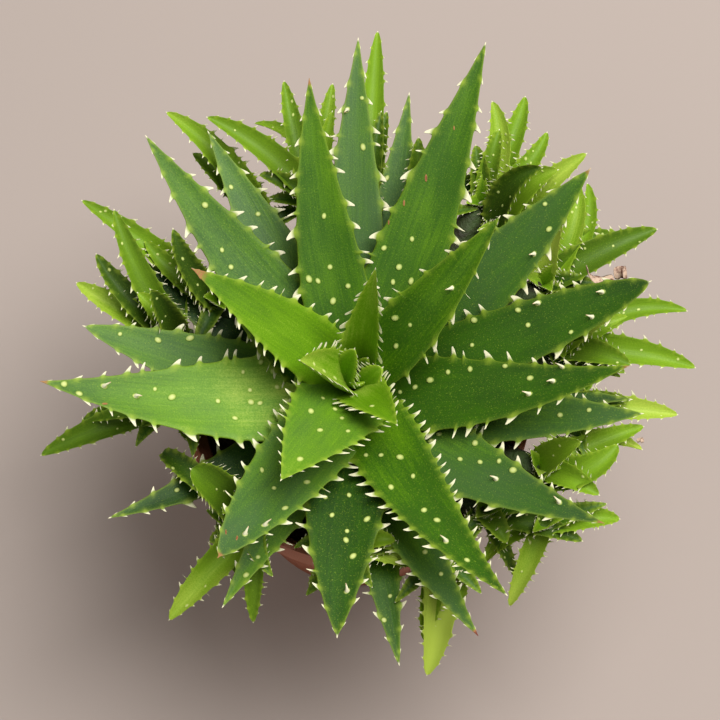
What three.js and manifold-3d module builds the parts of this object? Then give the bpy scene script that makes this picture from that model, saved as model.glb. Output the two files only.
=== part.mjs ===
// Potted safari kerio aloe, a toothed and spotted rosette with offsets round it.
// Millimetres and degrees, +Z up. The origin is the centre of the pot's flat underside.
// A bearing is measured from +X towards +Y, seen from above.
import * as THREE from "three";
import { mergeVertices } from "three/addons/utils/BufferGeometryUtils.js";
import Module from "manifold-3d";

const wasm = await Module();
wasm.setup();

// Clearance between pieces that touch in the real plant.
const GAP = 0.3;

// Facets left by a cut are joined where they are flat to within this.
const SMOOTHING = 0.05;

// Pot: a tapered round nursery pot with a deep rim and drain holes.
const POT = {
  height: 105,
  baseRadius: 43,
  wallTopRadius: 56,
  rimRadius: 60,
  rimDepth: 13,
  wall: 2,
  floor: 3,
  edge: 1,
  sides: 36,
  drainHoles: 6,
  drainRadius: 4,
  drainCircle: 30,
  drainStart: 15,
  drainSides: 12,
};

// Soil: fills the pot to a little under its rim, and is heaped towards the middle.
const SOIL = { wallHeight: 92, edgeHeight: 94, edgeSlope: 1, middleRadius: 20, middleHeight: 97 };

// Main stem: stands in the soil, narrows to a neck and ends blunt at the growing point.
const STEM = {
  footRadius: 7.5,
  neckRadius: 5,
  tipRadius: 2.5,
  footHeight: 95,
  neckHeight: 115,
  topHeight: 121,
  sides: 12,
};

// How a leaf is shaped. Thickness and channel depth are shares of its width, and it thins
// towards the tip. It is footWidth of its full width at the foot, and full from the shoulder.
const LEAF = {
  thickness: 0.13,
  thinning: 0.7,
  channel: 0.22,
  footWidth: 0.8,
  shoulder: 0.22,
  fullness: 1.12,
  tipSize: 0.35,
  footRadius: 5,
};

// Main rosette, from the heart outwards: the bearing and height of the leaf's foot on the
// stem, the bearing, reach and height of its tip, its width, the rise (bow) and the sideways
// swing (sway) of its middle, and how full its point is (1 is a slender point).
const ROSETTE = [
  { foot: [170, 120], tip: [173, 3, 136], width: 9, bow: 1, sway: 0, point: 1 },
  { foot: [316, 120], tip: [316, 4, 134], width: 9, bow: 1, sway: 0, point: 1 },
  { foot: [280, 119], tip: [296, 28, 146], width: 22, bow: 3, sway: 0, point: 1 },
  { foot: [200, 119], tip: [192, 19, 147], width: 20, bow: 2, sway: 0, point: 1 },
  { foot: [85, 119], tip: [76, 23, 160], width: 17, bow: 2, sway: 0, point: 1 },
  { foot: [250, 116], tip: [243, 52, 156], width: 31, bow: 2, sway: 0, point: 1 },
  { foot: [160, 116], tip: [157, 57, 160], width: 23, bow: 3, sway: 0, point: 1 },
  { foot: [38, 116], tip: [41, 60, 162], width: 22, bow: 2, sway: -2, point: 1 },
  { foot: [345, 108], tip: [355, 86, 151], width: 27, bow: -2, sway: -4, point: 1 },
  { foot: [100, 109], tip: [100, 94, 155], width: 24, bow: 0, sway: 3, point: 1 },
  { foot: [290, 108], tip: [299, 93, 151], width: 25, bow: 0, sway: -4, point: 1 },
  { foot: [200, 108], tip: [187, 101, 150], width: 32, bow: -3, sway: 4, point: 1 },
  { foot: [60, 109], tip: [68, 114, 156], width: 27, bow: 1, sway: -1, point: 1 },
  { foot: [235, 105], tip: [238, 81, 148], width: 28, bow: 1, sway: 0, point: 0.7 },
  { foot: [140, 105], tip: [133, 104, 146], width: 26, bow: -1, sway: 2, point: 1 },
  { foot: [5, 105], tip: [14, 98, 146], width: 26, bow: -1, sway: -1, point: 0.8 },
  { foot: [305, 104], tip: [324, 95, 140], width: 27, bow: -1, sway: -4, point: 1 },
  { foot: [262, 104], tip: [266, 92, 140], width: 31, bow: 1, sway: -1, point: 0.85 },
  { foot: [155, 103], tip: [150, 56, 140], width: 24, bow: 0, sway: 1, point: 1 },
  { foot: [92, 104], tip: [90, 113, 146], width: 23, bow: 1, sway: 1, point: 1 },
  { foot: [30, 104], tip: [40, 101, 144], width: 29, bow: -1, sway: -2, point: 1 },
  { foot: [345, 101], tip: [350, 94, 130], width: 26, bow: 0, sway: -3, point: 0.9 },
  { foot: [175, 100], tip: [172, 91, 134], width: 24, bow: -1, sway: 2, point: 0.75 },
  { foot: [121, 101], tip: [121, 100, 130], width: 24, bow: 1, sway: 1, point: 1 },
  { foot: [76, 101], tip: [80, 102, 130], width: 20, bow: 1, sway: -1, point: 1 },
  { foot: [280, 100], tip: [293, 96, 126], width: 23, bow: 1, sway: -4, point: 1 },
  { foot: [355, 99], tip: [355, 91, 120], width: 18, bow: 2, sway: 0, point: 1 },
  { foot: [158, 98], tip: [151, 89, 122], width: 23, bow: 0, sway: 2, point: 1 },
  { foot: [238, 98], tip: [241, 89, 120], width: 20, bow: 2, sway: 0, point: 1 },
  { foot: [215, 98], tip: [210, 94, 114], width: 18, bow: 0, sway: 3, point: 1 },
  { foot: [275, 98], tip: [278, 95, 108], width: 18, bow: 3, sway: -1, point: 0.9 },
];
const ROSETTE_RINGS = 5;
const ROSETTE_SIDES = 6;

// Offsets: small rosettes on stems of their own, which rise from the soil round the main
// stem and lean out over the rim. The crown is the top of the stem, as x, y and z, and each
// leaf is its tip, as x, y and z, its width and, where it curves sideways, its sway.
const OFFSETS = [
  {
    crown: [68, 12, 112],
    leaves: [
      [113, 27, 112, 10, 5], [92, 23, 116, 9], [86, 22, 124, 9], [115, 7, 110, 12, 1],
      [91, 3, 124, 11], [100, 10, 106, 8], [90, 3, 116, 8],
    ],
  },
  {
    crown: [64, 36, 112],
    leaves: [
      [76, 71, 122, 9, -4], [81, 75, 112, 8, -6], [70, 57, 128, 10, 2], [96, 54, 110, 10, 6],
      [103, 54, 120, 13],
    ],
  },
  {
    crown: [49, 56, 112],
    leaves: [[68, 70, 134, 13, 3], [62, 68, 140, 11, 5], [78, 76, 134, 11]],
  },
  {
    crown: [43, 66, 114],
    leaves: [
      [47, 99, 128, 10, -4], [59, 104, 122, 10, -2], [66, 89, 124, 9, -4], [41, 83, 126, 8],
      [49, 88, 128, 8],
    ],
  },
  {
    crown: [20, 62, 112],
    leaves: [[33, 99, 114, 8], [21, 84, 130, 8]],
  },
  {
    crown: [3, 61, 113],
    leaves: [[7, 130, 122, 10], [5, 111, 116, 9], [8, 94, 130, 7], [10, 95, 128, 7]],
  },
  {
    crown: [-15, 67, 113],
    leaves: [
      [-52, 91, 132, 11, -2], [-37, 102, 106, 8, -8], [-26, 108, 126, 9, 1], [-9, 108, 124, 8],
      [-9, 93, 132, 7], [-34, 73, 124, 8],
    ],
  },
  {
    crown: [-33, 59, 112],
    leaves: [[-67, 97, 124, 11, -3], [-47, 84, 122, 10], [-58, 85, 116, 9]],
  },
  {
    crown: [-48, 30, 112],
    leaves: [[-95, 63, 124, 10], [-62, 46, 138, 10, 3], [-61, 45, 132, 10, 3], [-73, 49, 122, 9, 3]],
  },
  {
    crown: [-62, 17, 112],
    leaves: [
      [-82, 53, 138, 10, 2], [-89, 42, 126, 10, 3], [-96, 34, 120, 11, 2], [-74, 27, 128, 9],
      [-69, 25, 136, 10],
    ],
  },
  {
    crown: [-60, -6, 110],
    leaves: [[-107, -23, 106, 12], [-93, -12, 110, 10], [-57, -20, 112, 8]],
  },
  {
    crown: [-42, -43, 110],
    leaves: [[-54, -36, 132, 14], [-66, -23, 108, 9]],
  },
  {
    crown: [-34, -50, 110],
    leaves: [[-62, -79, 104, 12], [-35, -78, 96, 8], [-49, -54, 109, 8]],
  },
  {
    crown: [-2, -56, 112],
    leaves: [[19, -63, 112, 9], [12, -56, 118, 8], [-16, -67, 98, 8]],
  },
  {
    crown: [27, -58, 108],
    leaves: [[23, -95, 92, 13, 2], [22, -84, 96, 9], [35, -72, 102, 9], [37, -66, 108, 8]],
  },
  {
    crown: [42, -44, 108],
    leaves: [[49, -55, 112, 9], [74, -54, 110, 10], [53, -62, 94, 6]],
  },
  {
    crown: [62, -48, 108],
    leaves: [[51, -72, 94, 11], [43, -58, 98, 9, -3], [87, -46, 108, 12]],
  },
  {
    crown: [61, -30, 110],
    leaves: [
      [96, -21, 106, 8, 6], [86, -24, 120, 13, -6], [72, -28, 136, 12], [96, -15, 112, 10],
      [79, -41, 120, 10],
    ],
  },
  {
    crown: [66, -9, 110],
    leaves: [[108, -10, 110, 11], [91, -7, 116, 9]],
  },
];
const OFFSET = {
  rootRadius: 46,
  footRadius: 5,
  neckRadius: 4,
  footHeight: 94,
  lean: 6,
  curl: 0.6,
  leafBow: 3,
  leafPoint: 0.9,
  leafRings: 2,
  leafSides: 4,
  stemRings: 2,
  stemSides: 6,
};

const MATERIALS = {
  pot: new THREE.MeshStandardMaterial({ color: 0xa4573a, roughness: 0.6, metalness: 0 }),
  soil: new THREE.MeshStandardMaterial({ color: 0x2b1d14, roughness: 0.95, metalness: 0 }),
  stem: new THREE.MeshStandardMaterial({ color: 0x6f7a3c, roughness: 0.7, metalness: 0 }),
  heartLeaf: new THREE.MeshStandardMaterial({ color: 0x5f9428, roughness: 0.45, metalness: 0 }),
  outerLeaf: new THREE.MeshStandardMaterial({ color: 0x2f5f2a, roughness: 0.45, metalness: 0 }),
  offset: new THREE.MeshStandardMaterial({ color: 0x5d8f2e, roughness: 0.5, metalness: 0 }),
};
const HEART_LEAVES = 8;

const UPWARD = new THREE.Vector3(0, 0, 1);

/** A closed solid from a geometry, with its shared corners merged and its flat triangles dropped. */
function solidFrom(geometry) {
  geometry.deleteAttribute("normal");
  geometry.deleteAttribute("uv");
  const merged = mergeVertices(geometry, 1e-4);
  const corners = merged.index.array;
  const kept = [];
  for (let i = 0; i < corners.length; i += 3) {
    const [a, b, c] = [corners[i], corners[i + 1], corners[i + 2]];
    if (a !== b && b !== c && c !== a) kept.push(a, b, c);
  }
  return new wasm.Manifold(new wasm.Mesh({
    numProp: 3,
    vertProperties: new Float32Array(merged.attributes.position.array),
    triVerts: new Uint32Array(kept),
  }));
}

/** A named mesh from a solid. */
function meshFrom(solid, name, material) {
  const source = solid.getMesh();
  const geometry = new THREE.BufferGeometry();
  geometry.setAttribute("position", new THREE.BufferAttribute(new Float32Array(source.vertProperties), 3));
  geometry.setIndex(new THREE.BufferAttribute(new Uint32Array(source.triVerts), 1));
  geometry.computeVertexNormals();
  const mesh = new THREE.Mesh(geometry, material);
  mesh.name = name;
  return mesh;
}

/** A solid turned about Z from [radius, height] points that start and end on the axis. */
function turned(points, sides) {
  const profile = points.map(([radius, height]) => new THREE.Vector2(radius, height));
  const geometry = new THREE.LatheGeometry(profile, sides);
  geometry.rotateX(Math.PI / 2);
  return solidFrom(geometry);
}

/** The point at a bearing, a reach from the axis and a height. */
function atBearing(bearing, reach, height) {
  const angle = THREE.MathUtils.degToRad(bearing);
  return new THREE.Vector3(reach * Math.cos(angle), reach * Math.sin(angle), height);
}

/** Half width of a leaf at t, from foot (0) to tip (1), as a share of its widest half. */
function leafWidthShare(t, point) {
  const shoulder = LEAF.footWidth + (1 - LEAF.footWidth) * Math.min(1, t / LEAF.shoulder);
  const reach = Math.min(1, (1 - t) * LEAF.fullness) ** point;
  return shoulder * Math.sin((Math.PI / 2) * reach);
}

/** The curve along the middle of a leaf, from its foot to its tip. */
function leafSpine(foot, tip, bow, sway) {
  const out = new THREE.Vector3(tip.x - foot.x, tip.y - foot.y, 0).normalize();
  const left = new THREE.Vector3(-out.y, out.x, 0);
  const middle = foot.clone().add(tip).multiplyScalar(0.5);
  middle.addScaledVector(UPWARD, 2 * bow).addScaledVector(left, 2 * sway);
  return { curve: new THREE.QuadraticBezierCurve3(foot, middle, tip), left };
}

/** A leaf's solid: a ring of sides carried along its spine, grown by a margin on every side. */
function leafSolid(leaf, rings, sides, margin = 0) {
  const { curve, left } = leafSpine(leaf.foot, leaf.tip, leaf.bow, leaf.sway);
  const geometry = new THREE.CylinderGeometry(1, 1, 1, sides, rings);
  const corners = geometry.attributes.position;
  for (let i = 0; i < corners.count; i += 1) {
    const t = 0.5 + corners.getY(i);
    const across = corners.getZ(i);
    const through = corners.getX(i);
    const spot = curve.getPoint(t);
    const along = curve.getTangent(t);
    const normal = along.clone().cross(left).normalize();
    const side = normal.clone().cross(along).normalize();
    const share = leafWidthShare(t, leaf.point);
    const half = (leaf.width / 2) * share + LEAF.tipSize;
    const depth = leaf.width * LEAF.thickness * (1 - LEAF.thinning * t) * share + LEAF.tipSize;
    spot.addScaledVector(side, across * (half + margin));
    spot.addScaledVector(normal, through * (depth + margin) + across * across * half * LEAF.channel);
    spot.addScaledVector(along, (t > 0.5 ? margin : -margin) * (t === 0 || t === 1 ? 1 : 0));
    corners.setXYZ(i, spot.x, spot.y, spot.z);
  }
  return solidFrom(geometry);
}

/** A stem's solid: a round tube along a curve, tapering from foot to neck. */
function stemSolid(curve, footRadius, neckRadius, rings, sides, margin = 0) {
  const geometry = new THREE.CylinderGeometry(1, 1, 1, sides, rings);
  const corners = geometry.attributes.position;
  for (let i = 0; i < corners.count; i += 1) {
    const t = 0.5 + corners.getY(i);
    const along = curve.getTangent(t);
    const side = new THREE.Vector3(0, 1, 0).cross(along).normalize();
    const front = side.clone().cross(along);
    const radius = THREE.MathUtils.lerp(footRadius, neckRadius, t) + margin;
    const spot = curve.getPoint(t);
    spot.addScaledVector(side, corners.getX(i) * radius);
    spot.addScaledVector(front, corners.getZ(i) * radius);
    corners.setXYZ(i, spot.x, spot.y, spot.z);
  }
  return solidFrom(geometry);
}

/** The pot's outline from the middle of its underside, up the outside and back down the inside. */
function potOutline(grow) {
  const rimFoot = POT.height - POT.rimDepth;
  const inner = POT.rimRadius - POT.wall - grow;
  const floorRadius = POT.baseRadius - POT.wall - grow;
  return [
    [0, -grow],
    [POT.baseRadius - POT.edge, -grow],
    [POT.baseRadius + grow, POT.edge],
    [POT.wallTopRadius + grow, rimFoot - grow],
    [POT.rimRadius + grow, rimFoot - grow],
    [POT.rimRadius + grow, POT.height - POT.edge],
    [POT.rimRadius - POT.edge, POT.height + grow],
    [inner, POT.height + grow],
    [inner, rimFoot + POT.wall + grow],
    [POT.wallTopRadius - POT.wall - grow, rimFoot + POT.wall + grow],
    [floorRadius, POT.floor + grow],
    [0, POT.floor + grow],
  ];
}

/** The height of the ledge inside the rim, where the rim's ring starts. */
function ledgeHeight() {
  return POT.height - POT.rimDepth + POT.wall;
}

/** The pot's floor, wall and ledge, with its drain holes cut through the floor. */
function potSolid() {
  let pot = turned([
    [0, 0],
    [POT.baseRadius - POT.edge, 0],
    [POT.baseRadius, POT.edge],
    [POT.wallTopRadius, POT.height - POT.rimDepth],
    [POT.rimRadius, POT.height - POT.rimDepth],
    [POT.rimRadius, ledgeHeight()],
    [POT.wallTopRadius - POT.wall, ledgeHeight()],
    [POT.baseRadius - POT.wall, POT.floor],
    [0, POT.floor],
  ], POT.sides);
  for (let i = 0; i < POT.drainHoles; i += 1) {
    const { drainRadius, drainSides, floor } = POT;
    const hole = new THREE.CylinderGeometry(drainRadius, drainRadius, 4 * floor, drainSides);
    hole.rotateX(Math.PI / 2);
    const bearing = POT.drainStart + (360 / POT.drainHoles) * i;
    const centre = atBearing(bearing, POT.drainCircle, floor / 2);
    hole.translate(centre.x, centre.y, centre.z);
    pot = pot.subtract(solidFrom(hole));
  }
  return pot;
}

/** The ring of the pot's rim, which stands on the ledge. */
function rimSolid() {
  const inner = POT.rimRadius - POT.wall;
  return turned([
    [inner, ledgeHeight()],
    [POT.rimRadius, ledgeHeight()],
    [POT.rimRadius, POT.height - POT.edge],
    [POT.rimRadius - POT.edge, POT.height],
    [inner, POT.height],
    [inner, ledgeHeight()],
  ], POT.sides);
}

/** The soil, which follows the pot's inside and is heaped in the middle. */
function soilSolid(grow = 0) {
  const inside = (height) => {
    const share = (height - POT.floor) / (ledgeHeight() - POT.floor);
    const radius = THREE.MathUtils.lerp(POT.baseRadius, POT.wallTopRadius, share);
    return radius - POT.wall - GAP + grow;
  };
  return turned([
    [0, POT.floor + GAP],
    [inside(POT.floor), POT.floor + GAP],
    [inside(SOIL.wallHeight), SOIL.wallHeight + grow],
    [inside(SOIL.wallHeight) - SOIL.edgeSlope, SOIL.edgeHeight + grow],
    [SOIL.middleRadius, SOIL.middleHeight + grow],
    [0, SOIL.middleHeight + grow],
  ], POT.sides);
}

/** The main stem, a column that narrows to the rosette's growing point. */
function mainStemSolid(margin = 0) {
  return turned([
    [0, STEM.footHeight - margin],
    [STEM.footRadius + margin, STEM.footHeight - margin],
    [STEM.neckRadius + margin, STEM.neckHeight],
    [STEM.tipRadius + margin, STEM.topHeight + margin],
    [0, STEM.topHeight + margin],
  ], STEM.sides);
}

/** One rosette leaf, placed on the stem. */
function rosetteLeaf({ foot, tip, width, bow, sway, point }) {
  const [footBearing, footHeight] = foot;
  return {
    foot: atBearing(footBearing, LEAF.footRadius, footHeight),
    tip: atBearing(...tip),
    width,
    bow,
    sway,
    point,
  };
}

/** One offset: its stem and leaves joined in one solid, grown by a margin on every side. */
function offsetSolid({ crown, leaves }, margin = 0) {
  const top = new THREE.Vector3(...crown);
  const outward = Math.atan2(top.y, top.x);
  const root = new THREE.Vector3(
    OFFSET.rootRadius * Math.cos(outward),
    OFFSET.rootRadius * Math.sin(outward),
    OFFSET.footHeight,
  );
  const middle = root.clone().add(top).multiplyScalar(0.5);
  middle.z += OFFSET.lean;
  middle.lerp(new THREE.Vector3(root.x, root.y, middle.z), OFFSET.curl);
  const curve = new THREE.QuadraticBezierCurve3(root, middle, top);
  const { footRadius, neckRadius, stemRings, stemSides } = OFFSET;
  let solid = stemSolid(curve, footRadius, neckRadius, stemRings, stemSides, margin);
  for (const [x, y, z, width, sway = 0] of leaves) {
    const leaf = {
      foot: top,
      tip: new THREE.Vector3(x, y, z),
      width,
      bow: OFFSET.leafBow,
      sway,
      point: OFFSET.leafPoint,
    };
    solid = solid.add(leafSolid(leaf, OFFSET.leafRings, OFFSET.leafSides, margin));
  }
  return solid;
}

/** The largest body of a solid that a cut may have parted. */
function largest(solid) {
  const bodies = solid.decompose();
  return bodies.reduce((best, body) => (body.volume() > best.volume() ? body : best));
}

/** Whether two solids' boxes meet. */
function boxesMeet(first, second) {
  const a = first.boundingBox();
  const b = second.boundingBox();
  return [0, 1, 2].every((axis) => a.min[axis] <= b.max[axis] && b.min[axis] <= a.max[axis]);
}

/** A solid with every cutter near it taken away. */
function trimmed(solid, cutters) {
  let left = solid;
  for (const cutter of cutters) {
    if (boxesMeet(left, cutter)) left = left.subtract(cutter);
  }
  return largest(left.simplify(SMOOTHING));
}

const plant = new THREE.Group();
plant.add(meshFrom(potSolid(), "pot", MATERIALS.pot));
plant.add(meshFrom(rimSolid(), "pot_rim", MATERIALS.pot));
plant.add(meshFrom(soilSolid(), "soil", MATERIALS.soil));

const ground = [turned(potOutline(GAP), POT.sides), soilSolid(GAP)];
plant.add(meshFrom(trimmed(mainStemSolid(), ground), "main_stem", MATERIALS.stem));

// A leaf clears the stem, the soil and each leaf nearer the heart, which laps over it.
const cutters = [...ground, mainStemSolid(GAP)];
ROSETTE.forEach((row, index) => {
  const leaf = rosetteLeaf(row);
  const solid = trimmed(leafSolid(leaf, ROSETTE_RINGS, ROSETTE_SIDES), cutters);
  const name = `leaf_${String(index + 1).padStart(2, "0")}`;
  const material = index < HEART_LEAVES ? MATERIALS.heartLeaf : MATERIALS.outerLeaf;
  plant.add(meshFrom(solid, name, material));
  cutters.push(leafSolid(leaf, ROSETTE_RINGS, ROSETTE_SIDES, GAP));
});

// An offset clears the main rosette and the offsets before it.
OFFSETS.forEach((row, index) => {
  const solid = trimmed(offsetSolid(row), cutters);
  plant.add(meshFrom(solid, `offset_${String(index + 1).padStart(2, "0")}`, MATERIALS.offset));
  cutters.push(offsetSolid(row, GAP));
});

export default plant;
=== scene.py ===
"""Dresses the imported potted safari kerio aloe: toothed and spotted leaves, offsets, pot and soil.

Metres, +Z up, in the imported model's own frame. Tables of the plant are in millimetres, as its
source has them, and places in the photograph are in its pixels.
"""

import logging
import math
import random
from dataclasses import dataclass, field
from enum import Enum
from typing import Callable, Sequence

import bpy
import numpy as np
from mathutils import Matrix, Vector


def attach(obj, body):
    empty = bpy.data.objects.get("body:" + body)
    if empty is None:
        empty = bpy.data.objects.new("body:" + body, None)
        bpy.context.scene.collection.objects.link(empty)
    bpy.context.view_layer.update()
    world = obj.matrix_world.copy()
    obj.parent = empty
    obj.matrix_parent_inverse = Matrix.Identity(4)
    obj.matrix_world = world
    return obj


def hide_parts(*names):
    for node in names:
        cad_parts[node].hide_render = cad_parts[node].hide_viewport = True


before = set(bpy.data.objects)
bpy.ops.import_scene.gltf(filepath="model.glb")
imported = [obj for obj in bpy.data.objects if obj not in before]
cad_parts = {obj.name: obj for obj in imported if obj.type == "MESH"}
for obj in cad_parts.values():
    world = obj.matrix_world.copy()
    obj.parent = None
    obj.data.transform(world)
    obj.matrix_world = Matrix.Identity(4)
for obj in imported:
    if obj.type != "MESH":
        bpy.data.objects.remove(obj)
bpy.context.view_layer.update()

MM = 0.001
BODY = "root"
LOG = logging.getLogger("aloe")

Vec = np.ndarray
Piece = bpy.types.Object
Mesh = bpy.types.Mesh
Material = bpy.types.Material
Socket = bpy.types.NodeSocket
Pair = tuple[float, float]
Triple = tuple[float, float, float]
Colour = tuple[float, float, float, float]


class Side(Enum):
    """The two faces of a leaf."""

    UPPER = 1
    UNDER = -1


class Tip(Enum):
    """How far a leaf's tip has dried, and the share of the leaf where that starts."""

    FRESH = (0.0, 0.96)
    TAN = (0.5, 0.982)
    RED = (1.0, 0.985)
    SCORCHED = (0.62, 0.9)


class Teeth(Enum):
    """How close together the teeth of a main leaf are; the short heart leaves have broad ones."""

    CLOSE = "close"
    USUAL = "usual"
    FEW = "few"
    HEART = "heart"


# Helpers for modelling with operators


def start_fresh() -> None:
    """Leave edit mode and deselect every object."""
    if bpy.context.object is not None and bpy.context.object.mode != "OBJECT":
        bpy.ops.object.mode_set(mode="OBJECT")
    bpy.ops.object.select_all(action="DESELECT")


def pick_only(piece: Piece) -> None:
    """Select one object alone and make it active.

    Args:
        piece: The object to select.
    """
    start_fresh()
    piece.select_set(True)
    bpy.context.view_layer.objects.active = piece


def named(name: str) -> Piece:
    """Name the object an operator has just added, and return it.

    Args:
        name: Its new name.

    Returns:
        The object.
    """
    made = bpy.context.object
    made.name = name
    made.data.name = name
    return made


def settle() -> None:
    """Apply the selected objects' places, turns and scales to their meshes."""
    bpy.ops.object.transform_apply(location=True, rotation=True, scale=True)


def upright_bar(name: str, sides: int, radius: float, height: float, foot: float = 0.0) -> Piece:
    """Add a round bar that stands on the axis.

    Args:
        name: The new object's name.
        sides: How many sides it has.
        radius: Its radius.
        height: Its height.
        foot: The height of its lower end.

    Returns:
        The bar, active and in object mode.
    """
    start_fresh()
    bpy.ops.mesh.primitive_cylinder_add(vertices=sides, radius=radius, depth=height, end_fill_type="NGON",
                                        location=(0, 0, foot + height / 2))
    bar = named(name)
    settle()
    return bar


def mesh_of(piece: Piece) -> Mesh:
    """Remove an object and return the mesh that it leaves.

    Args:
        piece: The object, which is gone afterwards.

    Returns:
        Its mesh.
    """
    mesh = piece.data
    bpy.data.objects.remove(piece)
    return mesh


def clear_picks(mesh: Mesh) -> None:
    """Deselect every corner, edge and face."""
    for parts in (mesh.vertices, mesh.edges, mesh.polygons):
        parts.foreach_set("select", [False] * len(parts))


def enter_edit(kind: str) -> None:
    """Enter edit mode with the picked EDGE or FACE parts kept.

    Args:
        kind: What is picked, EDGE or FACE.
    """
    bpy.context.tool_settings.mesh_select_mode = (False, kind == "EDGE", kind == "FACE")
    bpy.ops.object.mode_set(mode="EDIT")
    bpy.ops.mesh.select_mode(type=kind)


def edit_faces(piece: Piece, wanted: Callable[[Vector, Vector], bool]) -> None:
    """Enter edit mode with the faces that pass a test selected.

    Args:
        piece: The mesh object, active and in object mode.
        wanted: Takes a face's centre and normal, and says whether it is selected.
    """
    mesh = piece.data
    clear_picks(mesh)
    mesh.polygons.foreach_set("select", [wanted(face.center, face.normal) for face in mesh.polygons])
    enter_edit("FACE")


def edit_edges(piece: Piece, wanted: Callable[[Vector, Vector], bool]) -> None:
    """Enter edit mode with the edges that pass a test selected.

    Args:
        piece: The mesh object, active and in object mode.
        wanted: Takes an edge's two ends, and says whether it is selected.
    """
    mesh = piece.data
    clear_picks(mesh)
    ends = [[mesh.vertices[corner].co for corner in edge.vertices] for edge in mesh.edges]
    mesh.edges.foreach_set("select", [wanted(first, second) for first, second in ends])
    enter_edit("EDGE")


def leave_edit() -> None:
    """Go back to object mode."""
    bpy.ops.object.mode_set(mode="OBJECT")


def refine(piece: Piece, levels: int) -> None:
    """Round a piece with an applied Subdivision Surface modifier.

    Args:
        piece: The mesh object, active and in object mode.
        levels: How many times each face is split, or 0 to leave it as it is.
    """
    if levels:
        smooth = piece.modifiers.new("rounding", "SUBSURF")
        smooth.levels = levels
        smooth.render_levels = levels
        bpy.ops.object.modifier_apply(modifier=smooth.name)


def corners_of(mesh: Mesh) -> Vec:
    """Return a mesh's corners as rows of x, y and z.

    Args:
        mesh: The mesh to read.

    Returns:
        A row for each corner.
    """
    flat = np.zeros(len(mesh.vertices) * 3)
    mesh.vertices.foreach_get("co", flat)
    return flat.reshape(-1, 3)


def put_corners(mesh: Mesh, corners: Vec) -> None:
    """Move a mesh's corners to rows of x, y and z."""
    mesh.vertices.foreach_set("co", corners.astype(np.float32).ravel())
    mesh.update()


def put_values(mesh: Mesh, name: str, values: Vec) -> None:
    """Store a number, or a row of three, for each corner as a named attribute.

    Args:
        mesh: The mesh to write to.
        name: The attribute's name.
        values: A number or a row of three for each corner.
    """
    kind = "FLOAT" if values.ndim == 1 else "FLOAT_VECTOR"
    attribute = mesh.attributes.get(name) or mesh.attributes.new(name, kind, "POINT")
    key = "value" if values.ndim == 1 else "vector"
    attribute.data.foreach_set(key, values.astype(np.float32).ravel())


def copy_of(blank: Mesh, name: str) -> Piece:
    """Return a new object with its own copy of a blank's mesh.

    Args:
        blank: The mesh to copy.
        name: The new object's name.

    Returns:
        The new object.
    """
    mesh = blank.copy()
    mesh.name = name
    made = bpy.data.objects.new(name, mesh)
    bpy.context.scene.collection.objects.link(made)
    return made


def coat(pieces: Sequence[Piece], finish: Material) -> None:
    """Give pieces one material.

    Args:
        pieces: The mesh objects.
        finish: Their material.
    """
    for piece in pieces:
        piece.data.materials.clear()
        piece.data.materials.append(finish)


def bent(start: Vec, middle: Vec, end: Vec, share: Vec) -> tuple[Vec, Vec]:
    """Return places on a curve, and its directions there.

    Args:
        start: Where the curve starts.
        middle: The point that pulls its middle.
        end: Where it ends.
        share: How far along, from 0 to 1.

    Returns:
        The places and the directions, a row for each share.
    """
    t = share[:, None]
    places = (1 - t) ** 2 * start + 2 * t * (1 - t) * middle + t * t * end
    along = 2 * (1 - t) * (middle - start) + 2 * t * (end - middle)
    return places, along / np.linalg.norm(along, axis=1, keepdims=True)


def joined(pieces: Sequence[Piece], name: str) -> Piece:
    """Join pieces into one object with a given name.

    Args:
        pieces: The objects, of which the first takes in the others.
        name: The joined object's name.

    Returns:
        The joined object, active.
    """
    start_fresh()
    for piece in pieces:
        piece.select_set(True)
    bpy.context.view_layer.objects.active = pieces[0]
    if len(pieces) > 1:
        bpy.ops.object.join()
    return named(name)


def finish_piece(piece: Piece, nodes: Sequence[str] = ()) -> None:
    """Shade a piece smooth, fix it to its body and report it.

    Args:
        piece: The finished object, at the origin.
        nodes: The CAD nodes that it stands for.
    """
    pick_only(piece)
    bpy.ops.object.shade_smooth()
    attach(piece, BODY)
    if nodes:
        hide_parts(*nodes)
    piece.data.calc_loop_triangles()
    LOG.info("%s: %d triangles", piece.name, len(piece.data.loop_triangles))


# Finishes


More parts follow.
